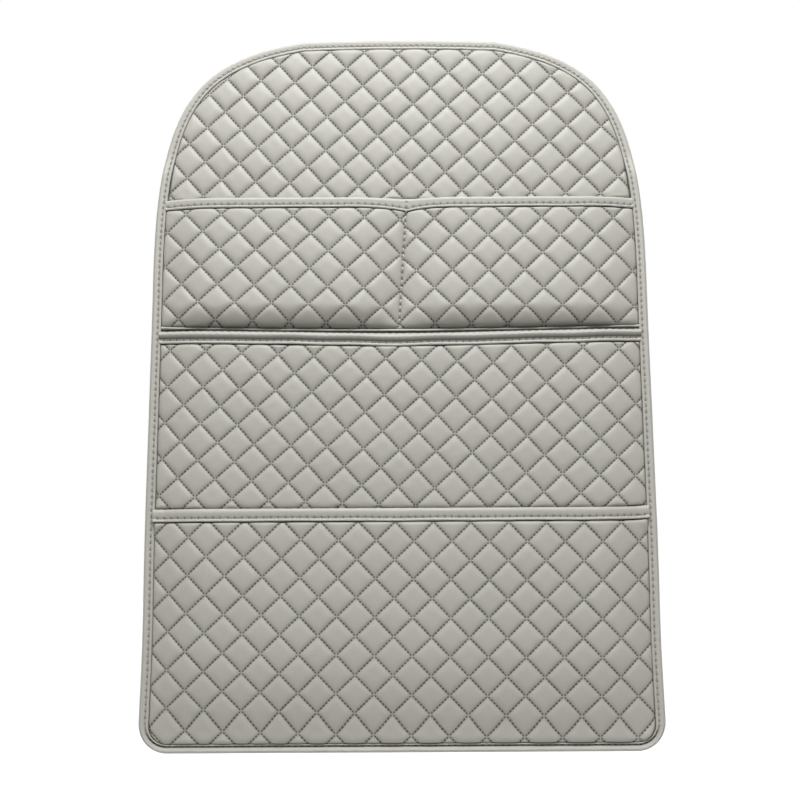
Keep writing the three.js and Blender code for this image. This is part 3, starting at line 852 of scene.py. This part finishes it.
def hook_tape(colours):
    """Hook tape: rows of tiny raised hooks, the product of two zigzags, with painted light on the hooks and
    painted shade between them.
    """
    shader = Shader("hook tape")
    x, _, z = shader.split(shader.place())
    hooks = (z * 600.0).maths("PINGPONG", 0.5) * 2.0 * (x * 900.0).maths("PINGPONG", 0.5) * 2.0
    colour = shader.tint(shade(colours.hooks, 0.6), shade(colours.hooks, 1.3), hooks)
    return shader.finish(colour, 0.85, shader.bump(hooks * 0.0005, 0.8))


MATERIALS = {}


def material(maker):
    """One material for each maker, made when first asked for."""
    if maker.__name__ not in MATERIALS:
        MATERIALS[maker.__name__] = maker(bpy.context.scene.organizer_colours)
    return MATERIALS[maker.__name__]


def seat(piece, slot, *nodes):
    """A finished piece rides on the one body and replaces its CAD nodes. Its slot is not used."""
    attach(piece, "root")
    if nodes:
        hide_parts(*nodes)


# Pieces

def level(drop):
    """A line that runs level at a drop, as a function of across."""
    return lambda across: 0 * across + drop


def panel_grid(inset, top_line, bottom_line, shares, edges):
    """Across and drop of a grid: rows run from the top line to the bottom line at the given
    shares, and columns lie at the given places across, scaled to each row's width. Both depend
    on each other and are found in two rounds, the first from the width at a drop of 300."""
    across = edges[None] * half_width_at(np.full((len(shares), 1), 300.0), 0) / HALF_WIDTH
    for _ in range(2):
        drop = top_line(across) + shares[:, None] * (bottom_line(across) - top_line(across))
        across = edges[None] / edges[-1] * half_width_at(drop, inset)
    return across, drop


def side_columns(spacing, places=()):
    """Columns across the whole width, closer where the edge binding ends and at the places."""
    end = HALF_WIDTH - EDGE_FOLD - CLEAR
    inner = HALF_WIDTH - EDGE_WIDTH - 0.8
    return graded(-end, end, spacing, (-inner, *places, inner))


class ORGANIZER_OT_back_panel(bpy.types.Operator):
    """Make the padded back panel, quilted above the upper pocket"""

    bl_idname = "organizer.back_panel"
    bl_label = "Back panel"

    def execute(self, context):
        sizes = context.scene.organizer_sizes
        spacing = sizes.grid / MM
        quilted = UPPER.mouth + 16
        drops = np.concatenate([graded(PANEL_TOP, quilted, spacing, (EDGE_WIDTH + 1.5,)),
                                np.linspace(quilted, PANEL_FOOT, 41)[1:]])
        shares = (drops - drops[0]) / (drops[-1] - drops[0])
        across, drop = panel_grid(EDGE_FOLD + CLEAR, level(drops[0]), level(drops[-1]), shares,
                                  side_columns(spacing))
        front, p, q, crease = top_front(across, drop, sizes)
        back = np.full_like(across, PANEL_BACK)
        uv = np.stack([p, q], axis=-1)
        panel = padded_shell("back_pad", material(quilted_leather), across, drop, front, back, uv, crease)
        seat(panel, "quilted_leather", "back_panel")
        return {"FINISHED"}


class ORGANIZER_OT_pocket_panels(bpy.types.Operator):
    """Make the three quilted pocket panels"""

    bl_idname = "organizer.pocket_panels"
    bl_label = "Pocket panels"

    def execute(self, context):
        sizes = context.scene.organizer_sizes
        spacing = sizes.grid / MM
        ends = {
            "upper": (lambda x: base_drop(x) - 1.2, UPPER.base - 2.0),
            "middle": (level(LOWER.mouth + 8), None),
            "lower": (level(PANEL_FOOT), HEIGHT - EDGE_WIDTH + BOTTOM_NARROWING - 0.8),
        }
        for pocket in POCKETS:
            bottom_line, foot = ends[pocket.name]
            top, bottom = pocket.mouth + 1.8, float(bottom_line(np.zeros(1))[0])
            places = (pocket.mouth + pocket.band + 1.2,) + ((foot,) if foot else ())
            drops = graded(top, bottom, spacing, places)
            across, drop = panel_grid(EDGE_FOLD + CLEAR, lambda x: mouth_drop(pocket, x) + 1.8, bottom_line,
                                      (drops - top) / (bottom - top),
                                      side_columns(spacing, (5.0, 0.5) if pocket.seamed else ()))
            front, p, q, crease = pocket_front(pocket, across, drop, sizes)
            back = np.minimum(pocket_back(pocket, across, drop), front - 0.8)
            uv = np.stack([p, q], axis=-1)
            panel = padded_shell(pocket.name + "_pocket", material(quilted_leather), across, drop,
                                 front, back, uv, crease)
            seat(panel, "quilted_leather", pocket.name + "_pocket_panel")
        return {"FINISHED"}


def tape_piece(name, node, rings, closed, stitches, section):
    """A tape from its rings, with stitches along it and distance from the stitches as its map."""
    along = np.broadcast_to(stitches[:, None], rings.shape[:2])
    uv = np.stack([along, section[..., 0]], axis=-1)
    piece = swept_tape(name, material(binding_leather), rings, closed, uv, section[..., 1])
    seat(piece, "binding_leather", node)


def mouth_section(pocket):
    """The section of the binding on a pocket's mouth."""
    return tape_section(pocket.band, pocket.stitch, MOUTH_FOLD, MOUTH_INSIDE, REAR_WALL, pocket.bulge,
                        pocket.groove, pocket.turn, 0.8, pocket.shadow, overhung=pocket.overhung)


def mouth_face(pocket):
    """Out of the binding's face at its stitches, counted from the panel's back."""
    return MOUTH_INSIDE + TAPE_WALL - CLEAR - pocket.groove


def mouth_wave(pocket, across):
    """Slow unevenness of a mouth binding, out of its face and down."""
    swing = pocket.slack * 0.2 * ripple(across, 0 * across, 38, 3)
    return swing, pocket.slack * 0.22 * ripple(across, 0 * across, 55, 8)


class ORGANIZER_OT_mouth_bindings(bpy.types.Operator):
    """Make the folded and topstitched bindings on the pocket mouths"""

    bl_idname = "organizer.mouth_bindings"
    bl_label = "Mouth bindings"

    def execute(self, context):
        sizes = context.scene.organizer_sizes
        pitch = sizes.topstitch / MM
        for pocket in POCKETS:
            end = half_width_at(np.array([pocket.mouth + 5]), EDGE_WIDTH - 1.2)[0]
            across = np.linspace(end, -end, 400)[:, None]
            section = mouth_section(pocket)
            down, out, crease = section.T
            swing, fall = mouth_wave(pocket, across)
            scallops = pocket.scallops * np.abs(np.sin(np.pi * across / pitch))
            drop = mouth_drop(pocket, across) + down + fall * ease(down, 0, 3) + scallops * ease(down, 8, 1)
            drop = drop + lip_sag(pocket, across) * ease(down, 2, pocket.stitch)
            outwards = mouth_back(pocket, across) - CLEAR + out
            outwards = outwards + ease(out, 1.0, MOUTH_INSIDE) * swing * ease(down, 0, 3)
            rings = spots(across, outwards, drop)
            distance = np.where(out > 0.5, (down - pocket.stitch) * 0.75, NO_HOLE)
            if pocket.seamed:
                holes = seam_holes(across, drop, sizes.seam_stitch / MM)
                # painted shade in the centre seam's needle holes on the binding
                crease = np.maximum(crease, 0.8 * holes * (out > 2))
            marks = np.stack(np.broadcast_arrays(distance, crease + 0 * across), axis=-1)
            tape_piece(pocket.name + "_mouth_tape", pocket.name + "_mouth_binding", rings, False,
                       across[:, 0] / pitch, marks)
        return {"FINISHED"}


class ORGANIZER_OT_base_tape(bpy.types.Operator):
    """Make the narrow tape on the base of the upper pocket"""

    bl_idname = "organizer.base_tape"
    bl_label = "Base tape"

    def execute(self, context):
        end = HALF_WIDTH - EDGE_WIDTH + 1.2
        across = np.linspace(-end, end, 300)[:, None]
        # its dark flap lies in the seam as painted shadow
        section = tape_section(BASE_BAND, 2.0, 0.8, 1.5, 0.7, 0.35, 0.0, lip=0.1, shade_flap=(0.5, 1.0),
                               fold_steps=7, face_steps=10)
        drop = base_drop(across) - section[:, 0] + 0.15 * ripple(across, 0 * across, 50, 4)
        out = POCKET_BACK + 0.7 + section[:, 1] + 0.4 * rise(HALF_WIDTH - np.abs(across), 60)
        marks = np.stack([np.full(len(section), NO_HOLE), section[:, 2]], axis=-1)
        marks = np.broadcast_to(marks, (len(across), len(section), 2))
        tape_piece("upper_base_strip", "upper_base_tape", spots(across, out, drop), False,
                   across[:, 0] / 6, marks)
        return {"FINISHED"}


def edge_inside(drop):
    """Depth of the space inside the edge binding: less above the pockets than over them."""
    share = ease(drop, UPPER.mouth - 45, UPPER.mouth - 20)
    return PANEL_FRONT + CLEAR + share * (SEAM_FRONT - PANEL_FRONT) - EDGE_BACK


def stitch_inset(drop):
    """How far the edge binding's stitches lie from the outline."""
    return EDGE_STITCH - 0.3 * bottom_share(drop)


def edge_groove(drop):
    """How deep the edge binding's stitches lie in its face."""
    return 0.3 + 1.7 * bottom_share(drop)


def edge_section(drop):
    """The section of the edge binding. Along the bottom it is narrower and fuller, and its groove
    is deeper and painted dark as shade, with a faint painted shade over its face."""
    share = bottom_share(drop)
    stitch = stitch_inset(drop)
    width = EDGE_WIDTH - BOTTOM_NARROWING * share
    # (0.45, 0.6) is the dark flap that lies in the seam as painted shadow
    section = tape_section(width, stitch, EDGE_FOLD, edge_inside(drop), TAPE_WALL, 0.35 + 1.5 * share,
                           edge_groove(drop), (0.15, 1.0), 0.15, 0.0, (0.45, 0.6))
    # painted shade in the bottom groove at the stitches, and a faint painted shade over the bottom's face
    face = section[:, 1] > 3
    section[:, 2] += share * face * (0.95 * near(section[:, 0] - stitch + 0.3, 0.6) + 0.06)
    section[:, 0] -= 0.3 * share * ease(section[:, 0], stitch, 0)
    return section


def edge_wave(at):
    """Slow unevenness of the edge binding's face, the same at the loop's two ends."""
    turn = math.tau * at / LOOP_LENGTH
    return 0.16 * ripple(90 * np.cos(turn), 90 * np.sin(turn), 11, 6)


class ORGANIZER_OT_edge_binding(bpy.types.Operator):
    """Make the binding folded round the whole outline"""

    bl_idname = "organizer.edge_binding"
    bl_label = "Edge binding"

    def execute(self, context):
        pitch = context.scene.organizer_sizes.edge_stitch / MM
        sections = np.stack([edge_section(drop) for drop in LOOP_POINTS[:, 1]])
        inset, out = sections[..., 0], sections[..., 1]
        out = out + edge_wave(LOOP_AT)[:, None] * ease(out, 2.0, 6.0)
        across = LOOP_POINTS[:, :1] + LOOP_INWARDS[:, :1] * inset
        drop = LOOP_POINTS[:, 1:] + LOOP_INWARDS[:, 1:] * inset
        rings = spots(across, EDGE_BACK + out, drop)[:, ::-1]
        depth = LOOP_POINTS[:, 1:]
        distance = np.where(sections[..., 1] > 3, np.abs(inset - stitch_inset(depth)), NO_HOLE)
        distance = distance + NO_HOLE * bottom_share(depth)
        marks = np.stack([distance, sections[..., 2]], axis=-1)[:, ::-1]
        count = round(LOOP_LENGTH / pitch)
        tape_piece("edge_tape", "edge_binding", rings, True, LOOP_AT * count / LOOP_LENGTH, marks)
        return {"FINISHED"}


class ORGANIZER_OT_rear_cloth(bpy.types.Operator):
    """Make the woven lining on the back"""

    bl_idname = "organizer.rear_cloth"
    bl_label = "Rear lining"

    def execute(self, context):
        across, drop = panel_grid(EDGE_FOLD + CLEAR, level(PANEL_TOP), level(PANEL_FOOT),
                                  np.linspace(0, 1, 121), np.linspace(-1, 1, 91))
        calm = ease(from_edge(across, drop), EDGE_WIDTH, EDGE_WIDTH + 12)
        back = LINING_BACK + 0.25 * calm * (1 + ripple(across, drop, 70, 17))
        uv = np.stack([across, drop], axis=-1) / 100
        piece = padded_shell("lining_sheet", material(lining_cloth), across, drop, back + 0.6, back, uv,
                             step=1)
        seat(piece, "lining_cloth", "rear_lining")
        return {"FINISHED"}


def strip_box(name):
    """The low and the high corner of a hook strip."""
    return [np.array(corner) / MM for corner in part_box(name + "_hook_strip")]


class ORGANIZER_OT_hook_strips(bpy.types.Operator):
    """Make the hook strips sewn to the lining"""

    bl_idname = "organizer.hook_strips"
    bl_label = "Hook strips"

    def execute(self, context):
        for name in ("upper", "lower"):
            low, high = strip_box(name)
            across = np.linspace(low[0], high[0], 121)[None] + np.zeros((21, 1))
            height = np.linspace(high[2], low[2], 21)[:, None] + np.zeros((1, 121))
            inset = np.minimum(across - low[0], high[0] - across)
            inset = np.minimum(inset, np.minimum(height - low[2], high[2] - height))
            hooks = 0.06 * ease(inset, 2, 4) * (1 + ripple(across, height, 6, 23))
            back = 0.7 * (1 - ease(inset, 0, 1.6)) + hooks
            front = np.full_like(across, 1.6)
            uv = np.stack([across, height], axis=-1) / 10
            piece = padded_shell(name + "_hook_tape", material(hook_tape), across, TOP_EDGE - height, front,
                                 back, uv, step=1)
            seat(piece, "hook_tape", name + "_hook_strip")
        return {"FINISHED"}


def quilting_stitches(cloth, surface, keep, seed):
    """Ends of the stitches along both families of lines, where keep() says they show.
    A stitch is a seventh of a side long, a little short at both ends."""
    reach = 30
    steps = np.arange(-reach * STITCHES_PER_SIDE, reach * STITCHES_PER_SIDE) / STITCHES_PER_SIDE
    line, along = np.meshgrid(np.arange(-reach, reach + 1), steps, indexing="ij")
    line, along = line.ravel().astype(float), along.ravel()
    length, gap = 1 / STITCHES_PER_SIDE, 0.16 / STITCHES_PER_SIDE
    stitches = []
    for swap in (False, True):
        both = []
        for t in (along + gap, along + length - gap):
            p, q = (t, line) if swap else (line, t)
            shift_p, shift_q = wobble(*cloth.place(p, q), seed)
            both.append(np.stack(cloth.place(p - shift_p, q - shift_q), axis=1))
        stitches.append(both)
    starts, ends = [np.concatenate([stitches[0][k], stitches[1][k]]) for k in (0, 1)]
    shown = keep(starts[:, 0], starts[:, 1]) & keep(ends[:, 0], ends[:, 1])
    points = []
    for end in (starts[shown], ends[shown]):
        out = surface(end[:, :1], end[:, 1:])[0]
        points.append(spots(end[:, :1], out, end[:, 1:])[:, 0])
    return points


def thread_piece(name, maker, starts, ends, thickness, slot, way=-1.0):
    """Threads on the front, or on the back where way is 1."""
    lifts = np.broadcast_to([0.0, way, 0.0], starts.shape)
    seat(threads(name, material(maker), starts, ends, lifts, thickness), slot)


class ORGANIZER_OT_quilting_threads(bpy.types.Operator):
    """Sew the stitches of the quilting"""

    bl_idname = "organizer.quilting_threads"
    bl_label = "Quilting threads"

    def execute(self, context):
        sizes = context.scene.organizer_sizes

        def inside(x, d):
            """Within the edge binding."""
            width = half_width_at(d, EDGE_WIDTH + 0.9)
            foot = HEIGHT - EDGE_WIDTH + BOTTOM_NARROWING - 0.9
            return (np.abs(x) < width) & (d > EDGE_WIDTH) & (d < foot)

        def on_pocket(pocket, x, d):
            """Within the edge binding and below the binding of the pocket's mouth."""
            lip = mouth_drop(pocket, x) + pocket.band + lip_sag(pocket, x)
            return inside(x, d) & (d > lip + 1.3)

        def on_upper(x, d):
            """On the upper pocket and above the tape on its base."""
            return on_pocket(UPPER, x, d) & (d < base_drop(x) - 3.2)

        jobs = [
            ("top_quilting", TOP_CLOTH, lambda x, d: top_front(x, d, sizes),
             lambda x, d: inside(x, d) & (d < UPPER.mouth + 1), TOP_SEED),
            ("upper_left_quilting", UPPER_LEFT_CLOTH, lambda x, d: pocket_front(UPPER, x, d, sizes),
             lambda x, d: on_upper(x, d) & (x < seam_at(d) - 0.8), UPPER.seed),
            ("upper_right_quilting", UPPER_RIGHT_CLOTH, lambda x, d: pocket_front(UPPER, x, d, sizes),
             lambda x, d: on_upper(x, d) & (x > seam_at(d) + 0.8), UPPER.seed + RIGHT_SEED),
            ("middle_quilting", MIDDLE_CLOTH, lambda x, d: pocket_front(MIDDLE, x, d, sizes),
             lambda x, d: on_pocket(MIDDLE, x, d) & (d < LOWER.mouth + 1), MIDDLE.seed),
            ("lower_quilting", LOWER_CLOTH, lambda x, d: pocket_front(LOWER, x, d, sizes),
             lambda x, d: on_pocket(LOWER, x, d), LOWER.seed),
        ]
        for name, cloth, surface, keep, seed in jobs:
            starts, ends = quilting_stitches(cloth, surface, keep, seed)
            thread_piece(name, quilting_thread, starts, ends, sizes.quilting_thread, "quilted_leather")
        return {"FINISHED"}


def strip_stitches(left, right, bottom, top, pitch=3.2):
    """Starts and ends of stitches round a rectangle, each side cut into equal stitches."""
    corners = [(left, bottom), (right, bottom), (right, top), (left, top)]
    ends = ([], [])
    for k, corner in enumerate(corners):
        side = np.subtract(corners[(k + 1) % 4], corner)
        count = round(float(np.hypot(*side)) / pitch)
        for shift, found in zip((0.12, 0.88), ends):
            found.append(corner + side * (np.arange(count)[:, None] + shift) / count)
    return [np.concatenate(found).T for found in ends]


def loop_at(at):
    """Point of the outline and unit vector inwards at a length along it."""
    values = [np.interp(at, LOOP_AT, data[:, k], period=LOOP_LENGTH)
              for data in (LOOP_POINTS, LOOP_INWARDS) for k in (0, 1)]
    return np.stack(values[:2], axis=1), np.stack(values[2:], axis=1)


class ORGANIZER_OT_topstitching(bpy.types.Operator):
    """Sew the topstitches of the bindings and the centre seam"""

    bl_idname = "organizer.topstitching"
    bl_label = "Topstitching"

    def execute(self, context):
        sizes = context.scene.organizer_sizes
        self.mouths(sizes)
        self.edge(sizes)
        self.strips(sizes)
        self.centre_seam(sizes)
        return {"FINISHED"}

    def ends(self, first, pitch):
        """Where stitches with whole numbers start and end, each a little short of its pitch."""
        return (first + STITCH_GAP) * pitch, (first + 1 - STITCH_GAP) * pitch

    def mouths(self, sizes):
        """Along the mouth bindings, in the groove of their faces."""
        pitch = sizes.topstitch / MM
        for pocket in POCKETS:
            end = half_width_at(np.array([pocket.mouth + 5]), EDGE_WIDTH + 0.5)[0]
            ends = []
            for x in self.ends(np.arange(math.ceil(-end / pitch), math.floor(end / pitch)), pitch):
                swing, fall = mouth_wave(pocket, x)
                drop = mouth_drop(pocket, x) + pocket.stitch + fall + lip_sag(pocket, x)
                ends.append(spots(x, mouth_back(pocket, x) + mouth_face(pocket) + swing, drop))
            thread_piece(pocket.name + "_mouth_stitches", binding_thread, *ends, sizes.top_thread,
                         "binding_leather")

    def edge(self, sizes):
        """Round the edge binding, on its face and on its rear."""
        count = round(LOOP_LENGTH / (sizes.edge_stitch / MM))
        front, rear = [], []
        for at in self.ends(np.arange(count), LOOP_LENGTH / count):
            point, inwards = loop_at(at)
            place = point + inwards * stitch_inset(point[:, 1:])
            out = EDGE_BACK + edge_inside(point[:, 1]) + TAPE_WALL - edge_groove(point[:, 1]) + edge_wave(at)
            front.append(spots(place[:, 0], out, place[:, 1]))
            rear.append(spots(place[:, 0], EDGE_BACK - TAPE_WALL, place[:, 1]))
        thread_piece("edge_stitches", binding_thread, *front, sizes.top_thread, "binding_leather")
        thread_piece("rear_edge_stitches", binding_thread, *rear, sizes.top_thread, "binding_leather", 1.0)

    def strips(self, sizes):
        """Round the two hook strips, a millimetre from their sides."""
        for name in ("upper", "lower"):
            low, high = strip_box(name)
            found = strip_stitches(low[0] + 1, high[0] - 1, low[2] + 1, high[2] - 1)
            ends = [spots(x, 0.25, TOP_EDGE - z) for x, z in found]
            thread_piece(name + "_strip_stitches", strip_thread, *ends, sizes.quilting_thread,
                         "hook_tape", 1.0)

    def centre_seam(self, sizes):
        """Down the centre seam of the upper pocket, first on its binding and then on its cloth."""
        drops = np.arange(UPPER.mouth + SEAM_START, UPPER.base - 2, sizes.seam_stitch / MM)
        ends = []
        for drop in (drops[:-1] + 1.15, drops[1:] - 1.15):
            x = seam_at(drop)
            below = drop - mouth_drop(UPPER, x)
            bound = mouth_back(UPPER, x) + MOUTH_INSIDE + TAPE_WALL - CLEAR + 0.5
            cloth = pocket_front(UPPER, x[:, None], drop[:, None], sizes)[0][:, 0]
            ends.append(spots(x, np.where(below < UPPER.band + 2, bound, cloth + 0.5), drop))
        thread_piece("centre_seam_stitches", seam_thread, *ends, sizes.top_thread * 1.3, "binding_leather")


# Stage

class ORGANIZER_OT_stage(bpy.types.Operator):
    """Set the floor, the lamps, the white surroundings and the camera"""

    bl_idname = "organizer.stage"
    bl_label = "Stage"

    def execute(self, context):
        self.floor()
        self.surroundings(context)
        self.lamps()
        self.camera(context)
        context.scene.view_settings.view_transform = "Standard"
        return {"FINISHED"}

    def floor(self):
        """A wide pale floor well below the object, which glows white for the camera alone."""
        angle = np.linspace(0, 2 * np.pi, 97)[:-1]
        radius = np.array([0.05, 2.0, 12.0])[:, None]
        height = np.full((3, 96), CAD_BOX[0][2] - 0.35)
        points = np.stack([radius * np.cos(angle), radius * np.sin(angle), height], axis=-1)
        wrapped = np.arange(3 * 96).reshape(3, 96)
        wrapped = np.concatenate([wrapped, wrapped[:, :1]], axis=1)
        quads = wrapped.ravel()[grid_faces(3, 97)]
        faces = quads.tolist() + [wrapped[0, :-1].tolist()]
        shader = Shader("pale floor")
        shader.finish([0.86, 0.86, 0.86, 1.0], 0.9)
        body, output = shader.tree.nodes[0], shader.tree.nodes[1]
        glow = shader.node("Emission", {}, Strength=0.92)
        dark = shader.node("Emission", {}, Strength=0.0)
        seen = shader.node("MixShader", {}, shader.watched(), dark, glow)
        both = shader.node("AddShader", {}, Wire(shader, body.outputs[0]), seen)
        shader.tree.links.new(both.socket, output.inputs[0])
        make_object("floor", points, faces, shader.material, smooth=False)

    def surroundings(self, context):
        """White for the camera, a faint warm light for the object."""
        shader = Shader("studio", bpy.data.worlds)
        light = shader.node("Background", {}, (1.0, 0.95, 0.85, 1.0), 0.06)
        white = shader.node("Background", {}, (1.0, 1.0, 1.0, 1.0), 1.0)
        both = shader.node("MixShader", {}, shader.watched(), light, white)
        shader.node("OutputWorld", {}, both)
        context.scene.world = shader.material

    def lamps(self):
        """A wide key lamp above the front, two faint warm ones low at the sides and one behind
        for the back."""
        cool, warm = (0.98, 0.99, 1.0), (1.0, 0.86, 0.68)
        for name, place, target, size, power, colour in (
            ("key", (0.0, -0.9, 1.15), (0.0, 0.0, -0.2), 0.7, 28.2, cool),
            ("left", (-1.3, -0.3, -0.45), (0.0, 0.0, -0.4), 0.7, 0.8, warm),
            ("right", (1.3, -0.3, -0.45), (0.0, 0.0, -0.4), 0.7, 0.8, warm),
            ("back", (0.6, 1.6, 0.9), (0.0, 0.0, -0.25), 1.2, 16.0, cool),
        ):
            data = bpy.data.lights.new(name, "AREA")
            data.color = colour
            data.size = size
            data.energy = power
            lamp = bpy.data.objects.new(name, data)
            bpy.context.scene.collection.objects.link(lamp)
            lamp.location = place
            away = np.array(place) - np.array(target)
            flat = math.hypot(away[0], away[1])
            lamp.rotation_euler = (math.atan2(flat, away[2]), 0.0, math.atan2(away[0], -away[1]))

    def camera(self, context):
        """The photograph's view: 0.87 m in front, 0.16 m below the middle, tilted up 9 degrees."""
        data = bpy.data.cameras.new("view")
        data.sensor_width = 36.0
        data.lens = 45.0
        camera = bpy.data.objects.new("view", data)
        context.scene.collection.objects.link(camera)
        camera.location = (-0.0011, -0.8681, -0.4151)
        camera.rotation_euler = Euler((math.radians(99.085), math.radians(0.29), 0.0))
        context.scene.camera = camera


# Settings and panel

def length_property(name, description, default):
    """A length that a user can set, in metres."""
    return bpy.props.FloatProperty(name=name, description=description, default=default, unit="LENGTH")


def colour_property(name, description, default):
    """A colour that a user can set, in linear light."""
    return bpy.props.FloatVectorProperty(name=name, description=description, default=default,
                                         subtype="COLOR", size=3)


class OrganizerSizes(bpy.types.PropertyGroup):
    """Sizes that set the look of the sewing"""

    puff: length_property("Puff", "Height of a quilted cell over its stitches", 0.0028)
    roundness: bpy.props.FloatProperty(name="Roundness", description="How flat the middle of a cell is",
                                       default=3.4)
    steepness: bpy.props.FloatProperty(name="Steepness", description="Lower is steeper at the stitch lines",
                                       default=0.6)
    grid: length_property("Grid", "Spacing of the panels' mesh", 0.00112)
    quilting_thread: length_property("Quilting thread", "Thickness of the quilting thread", 0.0005)
    top_thread: length_property("Top thread", "Thickness of the topstitching thread", 0.0008)
    topstitch: length_property("Topstitch", "Length of one topstitch of a mouth binding", 0.0061)
    edge_stitch: length_property("Edge stitch", "Length of one topstitch of the edge binding", 0.0055)
    seam_stitch: length_property("Seam stitch", "Length of one stitch of the centre seam", 0.0059)


class OrganizerColours(bpy.types.PropertyGroup):
    """Colours of the materials, in linear light"""

    quilt: colour_property("Quilted leather", "Colour of the quilted panels", (0.575, 0.56, 0.505))
    binding: colour_property("Binding leather", "Colour of the bindings", (0.61, 0.598, 0.545))
    # the quilting thread's colour is darker than the thread's own, painted shade of the crease it lies in
    quilting: colour_property("Quilting thread", "Colour of the thread of the quilting", (0.17, 0.162, 0.14))
    topstitch: colour_property("Binding thread", "Colour of the topstitches", (0.56, 0.545, 0.495))
    seam: colour_property("Seam thread", "Colour of the thread of the centre seam", (0.84, 0.83, 0.77))
    lining: colour_property("Lining", "Colour of the rear lining", (0.20, 0.195, 0.185))
    hooks: colour_property("Hook tape", "Colour of the hook strips", (0.06, 0.06, 0.058))


OPERATORS = (
    ORGANIZER_OT_stage,
    ORGANIZER_OT_back_panel,
    ORGANIZER_OT_pocket_panels,
    ORGANIZER_OT_mouth_bindings,
    ORGANIZER_OT_base_tape,
    ORGANIZER_OT_edge_binding,
    ORGANIZER_OT_rear_cloth,
    ORGANIZER_OT_hook_strips,
    ORGANIZER_OT_quilting_threads,
    ORGANIZER_OT_topstitching,
)


class ORGANIZER_PT_panel(bpy.types.Panel):
    """Lists the steps that make the organizer"""

    bl_label = "Seat back organizer"
    bl_idname = "ORGANIZER_PT_panel"
    bl_space_type = "VIEW_3D"
    bl_region_type = "UI"
    bl_category = "Organizer"

    def draw(self, context):
        for group in (context.scene.organizer_sizes, context.scene.organizer_colours):
            for name in group.bl_rna.properties.keys():
                if name not in ("rna_type", "name"):
                    self.layout.prop(group, name)
        for operator in OPERATORS:
            self.layout.operator(operator.bl_idname)


CLASSES = (OrganizerSizes, OrganizerColours) + OPERATORS + (ORGANIZER_PT_panel,)


def register():
    """Make the classes and the scene's settings known."""
    for cls in CLASSES:
        bpy.utils.register_class(cls)
    bpy.types.Scene.organizer_sizes = bpy.props.PointerProperty(type=OrganizerSizes)
    bpy.types.Scene.organizer_colours = bpy.props.PointerProperty(type=OrganizerColours)


def unregister():
    """Take them back."""
    del bpy.types.Scene.organizer_colours
    del bpy.types.Scene.organizer_sizes
    for cls in reversed(CLASSES):
        bpy.utils.unregister_class(cls)


def main():
    """Make every piece and the stage."""
    register()
    for operator in OPERATORS:
        group, name = operator.bl_idname.split(".")
        getattr(getattr(bpy.ops, group), name)()


if __name__ == "__main__":
    main()
